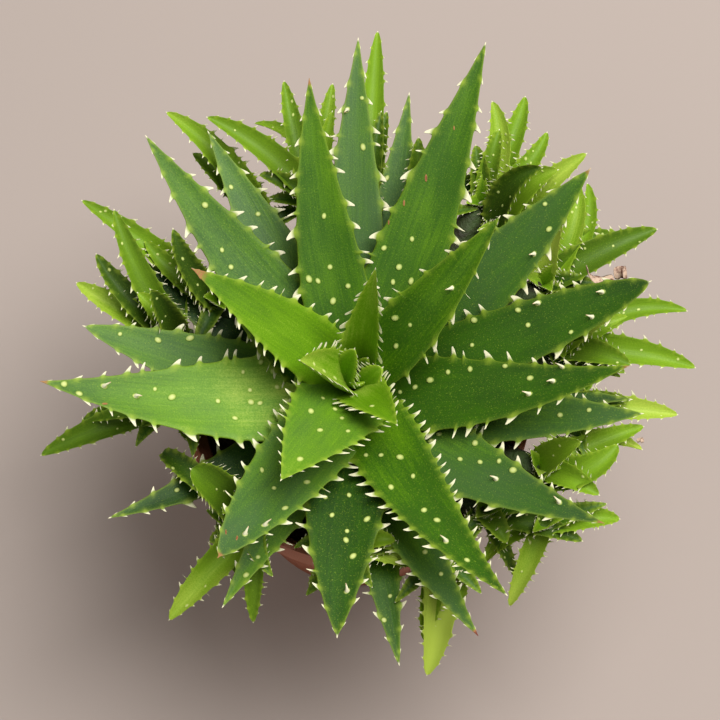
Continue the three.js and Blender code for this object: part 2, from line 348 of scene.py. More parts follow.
class Shader:
    """A material's nodes, added and linked in short calls."""

    def __init__(self, name: str) -> None:
        """Start a material with only its output and a Principled shader.

        Args:
            name: The material's name.
        """
        self.material = bpy.data.materials.new(name)
        self.material.use_nodes = True
        self.tree = self.material.node_tree
        self.surface = self.tree.nodes["Principled BSDF"]

    def add(self, kind: str, settings: dict | None = None, **sockets: object) -> bpy.types.Node:
        """Add a node.

        Args:
            kind: The node type without its ShaderNode prefix.
            settings: Properties of the node.
            **sockets: Inputs by name, with spaces as underscores: a value or an output to link.

        Returns:
            The new node.
        """
        node = self.tree.nodes.new("ShaderNode" + kind)
        for key, value in (settings or {}).items():
            setattr(node, key, value)
        for key, value in sockets.items():
            self.put(node, key.replace("_", " "), value)
        return node

    def put(self, node: bpy.types.Node, socket: str | int, value: object) -> None:
        """Set or link one input of a node.

        Args:
            node: The node.
            socket: The input's name or number.
            value: A value to set, or an output to link.
        """
        if isinstance(value, Socket):
            self.tree.links.new(value, node.inputs[socket])
        else:
            node.inputs[socket].default_value = value

    def attribute(self, name: str) -> Socket:
        """Return a number that the mesh stores for each corner."""
        return self.add("Attribute", {"attribute_name": name}).outputs["Fac"]

    def place(self, name: str) -> Socket:
        """Return a row of three numbers that the mesh stores for each corner."""
        return self.add("Attribute", {"attribute_name": name}).outputs["Vector"]

    def noise(self, place: Socket, scale: float, detail: float = 2.0,
              roughness: float = 0.5) -> Socket:
        """Return a noise pattern's strength."""
        made = self.add("TexNoise", Vector=place, Scale=scale, Detail=detail, Roughness=roughness)
        return made.outputs["Fac"]

    def stretched(self, place: Socket, scale: Triple) -> Socket:
        """Return a place scaled by its own amount along each axis."""
        return self.add("Mapping", Vector=place, Scale=scale).outputs["Vector"]

    def ramp(self, value: Socket, stops: Sequence[tuple[float, Colour]]) -> Socket:
        """Return a colour picked from stops by a number.

        Args:
            value: The number, from 0 to 1.
            stops: Places on the ramp with their colours.

        Returns:
            The colour's output.
        """
        node = self.add("ValToRGB", Fac=value)
        while len(node.color_ramp.elements) < len(stops):
            node.color_ramp.elements.new(0.5)
        for element, (position, colour) in zip(node.color_ramp.elements, stops):
            element.position = position
            element.color = colour
        return node.outputs["Color"]

    def mix(self, share: object, first: object, second: object) -> Socket:
        """Return a blend of two colours.

        Args:
            share: How much of the second colour shows.
            first: The first colour.
            second: The second colour.

        Returns:
            The blend's output.
        """
        node = self.add("Mix", {"data_type": "RGBA"})
        for socket, value in zip((0, 6, 7), (share, first, second)):
            self.put(node, socket, value)
        return node.outputs[2]

    def math(self, operation: str, first: object, second: object) -> Socket:
        """Return the result of a sum on two numbers.

        Args:
            operation: The operation's name.
            first: The first number.
            second: The second number.

        Returns:
            The result's output.
        """
        node = self.add("Math", {"operation": operation})
        self.put(node, 0, first)
        self.put(node, 1, second)
        return node.outputs[0]

    def total(self, *parts: tuple[object, float]) -> Socket:
        """Return the sum of patterns, each with its weight.

        Args:
            *parts: Each pattern with its weight.

        Returns:
            The sum's output.
        """
        result: object = 0.0
        for pattern, weight in parts:
            result = self.math("ADD", result, self.math("MULTIPLY", pattern, weight))
        return result

    def spread(self, value: object, low: float, high: float, to_low: float = 0.0,
               to_high: float = 1.0) -> Socket:
        """Return a number moved from one range to another, and held inside it.

        Args:
            value: The number.
            low: The low end of its range.
            high: The high end.
            to_low: What the low end becomes.
            to_high: What the high end becomes.

        Returns:
            The moved number's output.
        """
        node = self.add("MapRange", Value=value)
        for socket, bound in zip((1, 2, 3, 4), (low, high, to_low, to_high)):
            node.inputs[socket].default_value = bound
        return node.outputs["Result"]

    def bump(self, height: Socket, distance: float, strength: float = 1.0) -> None:
        """Raise the surface by a pattern, to a distance in metres."""
        node = self.add("Bump", Height=height, Distance=distance, Strength=strength)
        self.put(self.surface, "Normal", node.outputs["Normal"])


def tint(red: float, green: float, blue: float) -> Colour:
    """Return an opaque colour from screen values of 0 to 255.

    Args:
        red: Screen value of red.
        green: Screen value of green.
        blue: Screen value of blue.

    Returns:
        The colour in linear light.
    """
    shares = (red / 255, green / 255, blue / 255)
    linear = [v / 12.92 if v <= 0.04045 else ((v + 0.055) / 1.055) ** 2.4 for v in shares]
    return (linear[0], linear[1], linear[2], 1.0)


@dataclass(frozen=True)
class WaxyLeaf:
    """The leaves' finish: waxy green skin with ivory teeth and spots.

    The mesh stores, for each corner: leaf_place (millimetres across and along the leaf, and a
    number of its own for each leaf), tone (0 is lime and 1 is dark, partly painted shade),
    bloom_and_painted_sheen (how frosty its wax is, with painted sheen), tooth, halo, spot and dry.
    """

    lime: Colour = tint(186, 206, 82)
    fresh: Colour = tint(104, 150, 10)
    deep: Colour = tint(54, 96, 6)
    dark: Colour = tint(26, 56, 10)
    halo: Colour = tint(176, 198, 62)
    # Bluish frosty green: the real waxy bloom together with painted sheen.
    bloom_and_painted_sheen: Colour = tint(142, 168, 134)
    spot: Colour = tint(212, 220, 140)
    ivory: Colour = tint(240, 234, 196)
    blush: Colour = tint(206, 150, 104)
    tan: Colour = tint(166, 118, 70)
    red: Colour = tint(120, 52, 36)
    cloud_size: Triple = (0.10, 0.045, 1.0)
    streak_size: Triple = (1.1, 0.045, 1.0)
    speck_size: Triple = (2.4, 1.8, 1.0)
    fleck_size: Triple = (2.6, 2.0, 1.0)
    mottling: Triple = (0.42, 0.24, 0.34)
    green_stops: tuple[float, ...] = (0.0, 0.3, 0.62, 1.0)
    roughness: Pair = (0.4, 0.58)
    sheen: float = 0.22
    relief: float = 0.00025

    def material(self) -> Material:
        """Build the material.

        Returns:
            The material.
        """
        make = Shader("waxy_leaf")
        place = make.place("leaf_place")
        cloud = make.noise(make.stretched(place, self.cloud_size), 1.0, 3.0)
        streak = make.noise(make.stretched(place, self.streak_size), 1.0, 3.0, 0.6)
        speck = make.noise(make.stretched(place, self.speck_size), 1.0, 3.0, 0.6)
        fleck = make.noise(make.stretched(place, self.fleck_size), 1.0, 2.0, 0.7)
        grown = self.growths(make, self.skin(make, (cloud, streak, speck), fleck))
        patchy = make.spread(make.total((speck, 1.0), (streak, 0.5)), 0.55, 0.95, 0.55, 1.25)
        make.put(make.surface, "Base Color", self.withered(make, grown, patchy))
        rough = make.spread(make.total((speck, 1.0), (cloud, 0.6)), 0.5, 1.1, *self.roughness)
        make.put(make.surface, "Roughness", rough)
        make.surface.inputs["Specular IOR Level"].default_value = self.sheen
        make.bump(make.total((streak, 0.7), (speck, 0.5)), self.relief, 0.6)
        return make.material

    def skin(self, make: Shader, patterns: Sequence[Socket], fleck: Socket) -> Socket:
        """Return the green skin, mottled, frosted with wax and painted sheen, and finely flecked.

        Args:
            make: The material's nodes.
            patterns: The clouds, streaks and specks that mottle it.
            fleck: The pattern of the pale flecks.

        Returns:
            Its colour.
        """
        evenly = -0.5 * sum(self.mottling)
        shift = make.math("ADD", make.total(*zip(patterns, self.mottling)), evenly)
        mottled = make.math("ADD", make.attribute("tone"), shift)
        greens = (self.lime, self.fresh, self.deep, self.dark)
        green = make.ramp(mottled, tuple(zip(self.green_stops, greens)))
        # Frost of wax and painted sheen, patchy with the clouds.
        wax_and_sheen_film = make.math("MULTIPLY", make.attribute("bloom_and_painted_sheen"), make.spread(patterns[0], 0.3, 0.7, 0.4, 1.0))
        return make.mix(make.spread(fleck, 0.6, 0.74, 0.0, 0.4), make.mix(wax_and_sheen_film, green, self.bloom_and_painted_sheen), self.halo)

    def growths(self, make: Shader, skin: Socket) -> Socket:
        """Return the skin's colour with its halos, spots and teeth.

        Args:
            make: The material's nodes.
            skin: The skin's colour.

        Returns:
            Its colour with them.
        """
        tooth = make.attribute("tooth")
        haloed = make.mix(make.attribute("halo"), skin, self.halo)
        spotted = make.mix(make.spread(make.attribute("spot"), 0.1, 0.9), haloed, self.spot)
        toothed = make.mix(make.spread(tooth, 0.02, 0.3), spotted, self.ivory)
        return make.mix(make.spread(tooth, 0.8, 1.05, 0.0, 0.8), toothed, self.blush)

    def withered(self, make: Shader, fresh: Socket, patchy: Socket) -> Socket:
        """Return a colour dried to tan and then to red in patches.

        Args:
            make: The material's nodes.
            fresh: The colour where nothing has dried.
            patchy: How strongly each place dries.

        Returns:
            The dried colour.
        """
        dry = make.math("MULTIPLY", make.attribute("dry"), patchy)
        tanned = make.mix(make.spread(dry, 0.15, 0.5), fresh, self.tan)
        return make.mix(make.spread(dry, 0.6, 0.95), tanned, self.red)


@dataclass(frozen=True)
class FleshyStem:
    """The stems' finish: green flesh with brown rings where old leaves were."""

    flesh: Colour = tint(58, 80, 28)
    ring: Colour = tint(44, 40, 20)

    def material(self) -> Material:
        """Build the material.

        Returns:
            The material.
        """
        make = Shader("fleshy_stem")
        place = make.add("TexCoord").outputs["Object"]
        scar = make.noise(make.stretched(place, (40.0, 40.0, 420.0)), 1.0, 3.0)
        grain = make.noise(place, 900.0, 3.0)
        ringed = make.mix(make.spread(scar, 0.48, 0.62), self.flesh, self.ring)
        grained = make.mix(make.spread(grain, 0.3, 0.8, 0.0, 0.35), ringed, self.ring)
        make.put(make.surface, "Base Color", grained)
        make.surface.inputs["Roughness"].default_value = 0.7
        make.bump(make.math("ADD", scar, grain), 0.0006)
        return make.material


@dataclass(frozen=True)
class PottingMixFinish:
    """The soil's finish: dark, damp and gritty."""

    peat: Colour = tint(40, 27, 19)
    dust: Colour = tint(80, 60, 44)

    def material(self, name: str, lighter: float) -> Material:
        """Build the material, with a share of its lighter colour.

        Args:
            name: The material's name.
            lighter: The lighter colour's share.

        Returns:
            The material.
        """
        make = Shader(name)
        place = make.add("TexCoord").outputs["Object"]
        crumb = make.noise(place, 420.0, 5.0, 0.7)
        patch = make.noise(place, 60.0, 2.0)
        share = make.spread(make.math("MULTIPLY", crumb, patch), 0.12, 0.42, 0.0, lighter)
        make.put(make.surface, "Base Color", make.mix(share, self.peat, self.dust))
        make.surface.inputs["Roughness"].default_value = 0.95
        make.bump(crumb, 0.0012)
        return make.material


@dataclass(frozen=True)
class PotPlastic:
    """The pot's finish: satin terracotta-coloured plastic, a little scuffed."""

    body: Colour = tint(176, 100, 70)
    scuffed: Colour = tint(198, 132, 102)

    def material(self) -> Material:
        """Build the material.

        Returns:
            The material.
        """
        make = Shader("pot_plastic")
        place = make.add("TexCoord").outputs["Object"]
        cloud = make.noise(place, 22.0, 3.0)
        scratch = make.noise(make.stretched(place, (90.0, 90.0, 700.0)), 1.0, 4.0, 0.65)
        grain = make.noise(place, 2200.0, 2.0)
        wear = make.spread(make.math("MULTIPLY", cloud, scratch), 0.26, 0.46, 0.0, 0.6)
        make.put(make.surface, "Base Color", make.mix(wear, self.body, self.scuffed))
        make.put(make.surface, "Roughness", make.spread(scratch, 0.3, 0.7, 0.42, 0.6))
        make.bump(make.total((grain, 1.0), (scratch, 0.5)), 0.00012)
        return make.material


@dataclass(frozen=True)
class DryHusk:
    """A dried leaf scrap's finish: brown skin with paler veins, partly real and partly painted highlight on
    the curls.
    """

    dark: Colour = tint(104, 54, 42)
    pale: Colour = tint(214, 184, 158)

    def material(self) -> Material:
        """Build the material.

        Returns:
            The material.
        """
        make = Shader("dry_husk")
        place = make.add("TexCoord").outputs["Object"]
        vein_and_highlight = make.noise(place, 420.0, 4.0, 0.65)
        # Pale veins spread wide: partly real, partly painted highlight over the curls' own shade.
        make.put(make.surface, "Base Color", make.mix(make.spread(vein_and_highlight, 0.36, 0.56), self.dark, self.pale))
        make.surface.inputs["Roughness"].default_value = 0.8
        make.bump(vein_and_highlight, 0.0005)
        return make.material


# The photograph's camera


@dataclass(frozen=True)
class PhotoCamera:
    """The camera, which looks steeply down on the rosette from the front."""

    elevation: float = 70.0
    distance: float = 650.0
    focal_px: float = 1940.0
    frame_px: float = 720.0
    sensor: float = 36.0
    aim: Triple = (0.67, 4.73, 123.72)

    def axes(self) -> tuple[Vec, Vec]:
        """Return the directions of its view and of its picture's top.

        Returns:
            Two directions of length 1.
        """
        angle = math.radians(self.elevation)
        forward = np.array([0.0, math.cos(angle), -math.sin(angle)])
        top = np.array([0.0, math.sin(angle), math.cos(angle)])
        return forward, top

    def pixels(self, places: Vec) -> Vec:
        """Return the picture's pixels of places in millimetres.

        Args:
            places: Rows of x, y and z.

        Returns:
            Rows of pixels from the left and from the top.
        """
        forward, top = self.axes()
        offset = places - (np.array(self.aim) - forward * self.distance)
        depth = offset @ forward
        across = self.frame_px / 2 + self.focal_px * offset[..., 0] / depth
        down = self.frame_px / 2 - self.focal_px * (offset @ top) / depth
        return np.stack((across, down), axis=-1)

    def build(self) -> None:
        """Add the camera and make it the scene's."""
        forward, _ = self.axes()
        data = bpy.data.cameras.new("photo_camera")
        data.sensor_width = self.sensor
        data.lens = self.focal_px * self.sensor / self.frame_px
        camera = bpy.data.objects.new("photo_camera", data)
        bpy.context.scene.collection.objects.link(camera)
        camera.location = Vector((np.array(self.aim) - forward * self.distance) * MM)
        camera.rotation_euler = (math.radians(90 - self.elevation), 0, 0)
        bpy.context.scene.camera = camera


# Blanks: modelled once, copied for every leaf, spot and prickle


@dataclass
class LeafBlank:
    """A straight leaf of an average size with its teeth, in millimetres, with its foot at 0.

    Across is X, the upper face is +Y and the tip is towards +Z. Each leaf is a copy of it, bent
    and tapered to its own shape.
    """

    name: str
    rings: int
    sides: int
    ring_step: int
    refinement: int
    length: float = 100.0
    half_width: float = 13.0
    half_depth: float = 3.0
    first_ring: int = 3
    tooth_steps: tuple[Triple, ...] = (
        (0.1, 0.3, 0.05), (0.34, 0.75, 0.25), (0.3, 0.9, 0.3), (0.14, 0.8, 0.3), (0.02, 2.1, 0.65))
    spine_steps: tuple[Pair, ...] = ((0.6, 0.7), (0.3, 0.8))
    mesh: Mesh = field(init=False)

    @property
    def tooth_length(self) -> float:
        """How far a tooth stands out of the margin."""
        return sum(farther for _, farther, _ in self.tooth_steps)

    @property
    def spacing(self) -> float:
        """Distance between teeth on one margin."""
        return self.ring_step * self.length / self.rings

    def tooth_start(self, side: float) -> float:
        """Height of the first tooth on the right (1) or left (-1) margin."""
        stagger = 0 if side > 0 else self.ring_step // 2
        return (self.first_ring + stagger + 0.5) * self.length / self.rings

    @property
    def margin(self) -> float:
        """Distance from the middle to the flat of the margin's faces."""
        return self.half_width * math.cos(math.pi / self.sides)

    def is_tooth_face(self, centre: Vector) -> bool:
        """Say whether a tooth grows from the face with this centre.

        Args:
            centre: The face's centre.

        Returns:
            Whether one does.
        """
        if abs(centre.x) < self.margin - 0.05:
            return False
        steps = (centre.z - self.tooth_start(math.copysign(1, centre.x))) / self.spacing
        return abs(steps - round(steps)) < 0.01 and steps > -0.5

    def build(self) -> None:
        """Model the blank: a tube cut in rings, with teeth drawn out of its margins."""
        piece = upright_bar(self.name, self.sides, 1, self.length)
        edit_edges(piece, lambda first, second: abs(first.z - second.z) > 1)
        bpy.ops.mesh.subdivide(number_cuts=self.rings - 1)
        bpy.ops.mesh.select_all(action="SELECT")
        bpy.ops.transform.resize(value=(self.half_width, self.half_depth, 1))
        leave_edit()
        self.draw_teeth(piece)
        self.draw_tip(piece)
        refine(piece, self.refinement)
        self.mesh = mesh_of(piece)

    def draw_teeth(self, piece: Piece) -> None:
        """Draw every tooth out of its face in steps, each narrower and leaning to the foot.

        Args:
            piece: The leaf's tube, active and in object mode.
        """
        edit_faces(piece, lambda centre, normal: self.is_tooth_face(centre))
        for narrower, farther, lower in self.tooth_steps:
            bpy.ops.mesh.inset(thickness=narrower, depth=farther, use_individual=True)
            bpy.ops.transform.translate(value=(0, 0, -lower))
        bpy.ops.mesh.merge(type="COLLAPSE")
        leave_edit()

    def draw_tip(self, piece: Piece) -> None:
        """Draw the end of the leaf out to a spine.

        Args:
            piece: The leaf's tube, active and in object mode.
        """
        edit_faces(piece, lambda centre, normal: normal.z > 0.9 and centre.z > self.length - 0.01)
        for share, rise in self.spine_steps:
            bpy.ops.mesh.extrude_region_move(TRANSFORM_OT_translate={"value": (0, 0, rise)})
            bpy.ops.transform.resize(value=(share, share, 1))
        leave_edit()


@dataclass
class SpotBlank:
    """A low dome of radius 1, with its foot a little under the leaf's skin."""

    sides: int = 10
    sunk: float = 0.12
    steps: tuple[Pair, ...] = ((0.2, 0.08), (0.25, 0.12), (0.25, 0.06))
    mesh: Mesh = field(init=False)

    def build(self) -> None:
        """Model the dome: a disc whose top is inset and raised in steps."""
        piece = upright_bar("spot_blank", self.sides, 1, self.sunk, -self.sunk)
        edit_faces(piece, lambda centre, normal: normal.z > 0.9)
        for narrower, higher in self.steps:
            bpy.ops.mesh.inset(thickness=narrower, depth=higher)
        leave_edit()
        self.mesh = mesh_of(piece)


@dataclass
class PrickleBlank:
    """A small hooked prickle, 1 tall, leaning over towards -Y."""

    sides: int = 6
    base: float = 0.34
    sunk: float = 0.1
    steps: tuple[Triple, ...] = ((0.62, 0.3, 0.02), (0.62, 0.35, 0.16), (0.3, 0.35, 0.34))
    mesh: Mesh = field(init=False)

    def build(self) -> None:
        """Model the prickle: a disc drawn up in narrowing steps."""
        piece = upright_bar("prickle_blank", self.sides, self.base, self.sunk, -self.sunk)
        edit_faces(piece, lambda centre, normal: normal.z > 0.9)
        for share, rise, lean in self.steps:
            bpy.ops.mesh.extrude_region_move(TRANSFORM_OT_translate={"value": (0, -lean, rise)})
            bpy.ops.transform.resize(value=(share, share, 1))
        leave_edit()
        self.mesh = mesh_of(piece)


@dataclass
class StemBlank:
    """A straight ringed stem, 1 tall and about 1 in radius."""

    rings: int = 14
    sides: int = 14
    swell: float = 0.13
    mesh: Mesh = field(init=False)

    def build(self) -> None:
        """Model the stem: a tube cut in rings, with every second band swollen."""
        piece = upright_bar("stem_blank", self.sides, 1, 1)
        edit_edges(piece, lambda first, second: abs(first.z - second.z) > 0.5)
        bpy.ops.mesh.subdivide(number_cuts=2 * self.rings - 1)
        leave_edit()
        band = 1 / self.rings

        def swollen(centre: Vector, normal: Vector) -> bool:
            """Say whether a face is on a band that swells."""
            return abs(normal.z) < 0.5 and (centre.z / band) % 1 < 0.5

        edit_faces(piece, swollen)
        bpy.ops.transform.resize(value=(1 + self.swell, 1 + self.swell, 1))
        leave_edit()
        refine(piece, 1)
        self.mesh = mesh_of(piece)


@dataclass
class Blanks:
    """Every blank, modelled before the plant."""

    main: dict[Teeth, LeafBlank] = field(default_factory=lambda: {
        Teeth.CLOSE: LeafBlank("close_teeth", 40, 10, 2, 1),
        Teeth.USUAL: LeafBlank("usual_teeth", 38, 10, 3, 1),
        Teeth.FEW: LeafBlank("few_teeth", 34, 10, 4, 1),
        Teeth.HEART: LeafBlank("heart_teeth", 21, 10, 2, 1, first_ring=2),
    })
    small: LeafBlank = field(default_factory=lambda: LeafBlank("small_leaf", 44, 10, 4, 1))
    bud: LeafBlank = field(default_factory=lambda: LeafBlank("bud_leaf", 30, 10, 3, 0))
    spot: SpotBlank = field(default_factory=SpotBlank)
    prickle: PrickleBlank = field(default_factory=PrickleBlank)
    stem: StemBlank = field(default_factory=StemBlank)

    def build(self) -> None:
        """Model them all."""
        for blank in (*self.main.values(), self.small, self.bud, self.spot, self.prickle, self.stem):
            blank.build()


# Leaves


@dataclass(frozen=True)
class LeafForm:
    """How every leaf is shaped, as in the part's source, and how its teeth and spots grow."""

    thickness: float = 0.13
    thinning: float = 0.7
    channel: float = 0.22
    foot_width: float = 0.8
    shoulder: float = 0.22
    fullness: float = 1.12
    tip_size: float = 0.35
    upper_share: float = 0.55
    tooth_bulge: float = 0.95
    tooth_lengths: Pair = (0.7, 1.1)
    tooth_tilts: Pair = (-0.05, 0.3)
    most_teeth: int = 32
    narrow_teeth: float = 0.55
    tip_zone: float = 0.26
    tip_teeth: float = 0.12
    stray: float = 0.28
    slow_wave: float = 17.0
    quick_wave: float = 41.0
    quick_share: float = 0.6
    spine_length: float = 2.2
    tooth_glow: float = 0.6
    glow_area: float = 1.1
    rim_glow: float = 0.3
    rim_reach: float = 0.5
    tooth_window: int = 5
    margin_window: int = 8
    tooth_flatness: float = 0.5
    drying_speed: float = 1.6
    spot_rise: float = 0.5
    spot_turn: float = 0.5
    spot_stretch: Pair = (1.2, 0.25)
    spot_halo: Pair = (1.6, 0.8)
    spot_fill: float = 1.25
    scar_turn: float = -0.4
    scar_stretch: float = 3.2
    scar_redness: Triple = (1.5, 1.3, 0.85)
    prickle_foot: float = 0.25
    spots_along: Pair = (0.12, 0.9)
    spots_crowd: float = 1.15
    spots_across: float = 0.72
    spot_gap: float = 3.2
    spot_sizes: Pair = (0.75, 1.15)


FORM = LeafForm()
CAMERA = PhotoCamera()


@dataclass
class Leaf:
    """One leaf, by the places of its foot and tip, in millimetres.

    Bow and sway are the rise and the sideways swing of its middle, point how full its point is,
    and tones how dark it is at its foot and tip, partly its own colour and partly painted shade.
    """

    foot: Vec
    tip: Vec
    width: float
    bow: float
    sway: float
    point: float
    tones: Pair
    seed: int
    tooth_size: float = 1.0
    drying: Tip = Tip.FRESH
    fold: float = 0.0
    plump: float = 1.0
    bloom_and_painted_sheen: float = 0.0
    warmth: float = 0.0

    def spine(self, share: Vec) -> tuple[Vec, Vec, Vec, Vec]:
        """Return the spine's places and frame.

        Args:
            share: How far along the leaf, from foot (0) to tip (1).

        Returns:
            The places, and the directions along, across to the right and out of the upper face.
        """
        out = np.array([self.tip[0] - self.foot[0], self.tip[1] - self.foot[1], 0.0])
        out /= np.linalg.norm(out)
        left = np.array([-out[1], out[0], 0.0])
        middle = (self.foot + self.tip) / 2 + np.array([0, 0, 2 * self.bow]) + left * 2 * self.sway
        places, along = bent(self.foot, middle, self.tip, share)
        upward = np.cross(along, left)
        upward /= np.linalg.norm(upward, axis=1, keepdims=True)
        across = np.cross(upward, along)
        return places, along, across, upward

    @property
    def length(self) -> float:
        """Length along the spine."""
        places = self.spine(np.linspace(0, 1, 20))[0]
        return float(np.linalg.norm(np.diff(places, axis=0), axis=1).sum())

    def width_share(self, share: Vec) -> Vec:
        """Return the half width along the leaf as a share of the widest.

        Args:
            share: How far along, from 0 to 1.

        Returns:
            Half widths, from 0 to 1.
        """
        shoulder = FORM.foot_width + (1 - FORM.foot_width) * np.minimum(1, share / FORM.shoulder)
        reach = np.minimum(1, (1 - share) * FORM.fullness) ** self.point
        return shoulder * np.sin(math.pi / 2 * reach)

    def on_skin(self, share: Vec, across: Vec, depth: Vec, lift: Vec, excess: Vec) -> Vec:
        """Return places on or over the leaf's skin.

        Args:
            share: How far along, from 0 to 1.
            across: How far across, from the left margin (-1) to the right (1).
            depth: The skin's height over the middle surface, as a share (1 is the upper face).
            lift: Millimetres over the skin.
            excess: Millimetres past the margin.

        Returns:
            The places, in millimetres.
        """
        places, _, side, upward = self.spine(share)
        taper = self.width_share(share)
        half = self.width / 2 * taper + FORM.tip_size
        thick = self.width * FORM.thickness * (1 - FORM.thinning * share) * taper + FORM.tip_size
        thick = np.where(depth > 0, thick * FORM.upper_share, thick) * self.plump
        out = (across * half + excess) * math.cos(self.fold)
        raised = across**2 * half + np.abs(excess)
        up = depth * thick + across**2 * half * FORM.channel + lift + raised * math.sin(self.fold)
        return places + side * out[:, None] + upward * up[:, None]

    def place_of_pixel(self, pixel: Pair) -> Pair:
        """Return the place on the upper face that a pixel of the photograph shows.

        Args:
            pixel: The pixel, counted from the photograph's top left corner.

        Returns:
            How far along the leaf and how far across.
        """
        rounds, tried, closer = 4, 25, 8
        best = (0.5, 0.0)
        reach = (0.5, 0.95)
        for _ in range(rounds):
            along = np.clip(best[0] + np.linspace(-reach[0], reach[0], tried), 0.02, 0.97)
            across = np.clip(best[1] + np.linspace(-reach[1], reach[1], tried), -0.93, 0.93)
            grid_along, grid_across = (grid.ravel() for grid in np.meshgrid(along, across))
            depth = np.sqrt(1 - grid_across**2)
            none = np.zeros_like(depth)
            seen = CAMERA.pixels(self.on_skin(grid_along, grid_across, depth, none, none))
            nearest = int(np.argmin(np.linalg.norm(seen - np.array(pixel), axis=1)))
            best = (float(grid_along[nearest]), float(grid_across[nearest]))
            reach = (reach[0] / closer, reach[1] / closer)
        return best

    def strayed(self, share: Vec, across: Vec, drift: float, draw: random.Random) -> Vec:
        """Return places along the leaf moved a little, so that its teeth are unevenly spaced.

        Args:
            share: How far along, from 0 to 1.
            across: How far across, from -1 to 1.
            drift: How strongly they move, as a share of the leaf.
            draw: Where the waves' starts are drawn from.

        Returns:
            The moved places, from 0 to 1.
        """
        starts = [draw.uniform(0, 2 * math.pi) for _ in range(4)]
        for sign, (slow, quick) in ((1, starts[:2]), (-1, starts[2:])):
            wander = np.sin(share * FORM.slow_wave + slow)
            wander += FORM.quick_share * np.sin(share * FORM.quick_wave + quick)
            weight = np.clip((1 + sign * across) / 2, 0, 1) * np.sin(np.pi * np.clip(share, 0, 1))
            share = share + drift * wander * weight
        return np.clip(share, 0, 1)

    def tooth_scale(self, share: Vec, taper: Vec) -> Vec:
        """Return how long the teeth are beside the blank's, shorter where the leaf is narrow."""
        kept = FORM.narrow_teeth + (1 - FORM.narrow_teeth) * taper
        return self.tooth_size * kept * np.clip((1 - share) / FORM.tip_zone, FORM.tip_teeth, 1)

    def built(self, blank: LeafBlank, name: str) -> Piece:
        """Return the leaf: a copy of a blank, tapered and bent to its own shape.

        Args:
            blank: The blank to copy.
            name: The new object's name.

        Returns:
            The leaf's object.
        """
        piece = copy_of(blank.mesh, name)
        corners = corners_of(piece.data)
        draw = random.Random(self.seed)
        side = np.where(corners[:, 0] >= 0, 1.0, -1.0)
        height = corners[:, 2]
        start = np.where(side > 0, blank.tooth_start(1), blank.tooth_start(-1))
        steps = (height - start) / blank.spacing
        most = FORM.most_teeth
        number = np.clip(np.round(steps), 0, most - 1).astype(int) + np.where(side > 0, 0, most)
        lengths = np.array([draw.uniform(*FORM.tooth_lengths) for _ in range(2 * most)])
        tilts = np.array([draw.uniform(*FORM.tooth_tilts) for _ in range(2 * most)])

        past = np.maximum(0, np.abs(corners[:, 0]) - blank.margin)
        across = np.clip(corners[:, 0] / blank.margin, -1, 1)
        share = self.strayed(height / blank.length, across, FORM.stray * blank.spacing / blank.length, draw)
        taper = self.width_share(share)
        scale = self.tooth_scale(share, taper) * lengths[number]
        near = (0.5 + 0.5 * np.cos(2 * math.pi * steps)) ** FORM.tooth_window
        near = near * np.abs(across) ** FORM.margin_window * (steps > -0.5)
        excess = past * scale + near * FORM.tooth_bulge * self.tooth_size * taper
        depth = corners[:, 1] / blank.half_depth
        lift = np.where(past > 0, past * scale * tilts[number], 0.0)
        depth = np.where(past > 0, depth * FORM.tooth_flatness, depth)
        placed = self.on_skin(share, across, depth, lift, excess * side)
        spine_past = np.maximum(0, height - blank.length)
        placed += self.spine(share)[1] * (spine_past * self.tooth_size)[:, None]
        put_corners(piece.data, placed * MM)

        half = self.width / 2 * taper + FORM.tip_size
        from_margin = half * (1 - np.abs(across))
        from_tooth = (steps - np.round(steps)) * blank.spacing / blank.length * self.length
        tooth = np.clip(past / blank.tooth_length, 0, 1) + np.clip(spine_past / FORM.spine_length, 0, 1)
        glow = FORM.tooth_glow * np.exp(-(from_tooth**2 + from_margin**2) / FORM.glow_area)
        glow = glow * (steps > -0.5)
        rim = FORM.rim_glow * np.exp(-((from_margin / FORM.rim_reach) ** 2))
        amount, dry_from = self.drying.value
        dry = np.clip((share - dry_from) / (1 - dry_from) * FORM.drying_speed, 0, 1) * amount
        self.paint(piece.data, share, half * across, tooth=tooth, halo=np.maximum(rim, glow), dry=dry)
        return piece

    def paint(self, mesh: Mesh, share: Vec, out: Vec, **marks: Vec) -> None:
        """Store what the leaf's finish reads.

        Args:
            mesh: The mesh to write to.
            share: How far along, from 0 to 1.
            out: Millimetres across.
            **marks: How strongly tooth, halo, spot and dry show, each nowhere if it isn't given.
        """
        own = np.full(len(share), self.seed * 7.3)
        put_values(mesh, "leaf_place", np.stack((out, share * self.length, own), axis=1))
        first, last = self.tones
        put_values(mesh, "tone", first + (last - first) * share)
        put_values(mesh, "bloom_and_painted_sheen", np.full(len(share), self.bloom_and_painted_sheen))
        for name in ("tooth", "halo", "spot", "dry"):
            least = self.warmth if name == "halo" else 0.0
            put_values(mesh, name, np.maximum(marks.get(name, np.zeros(len(share))), least))

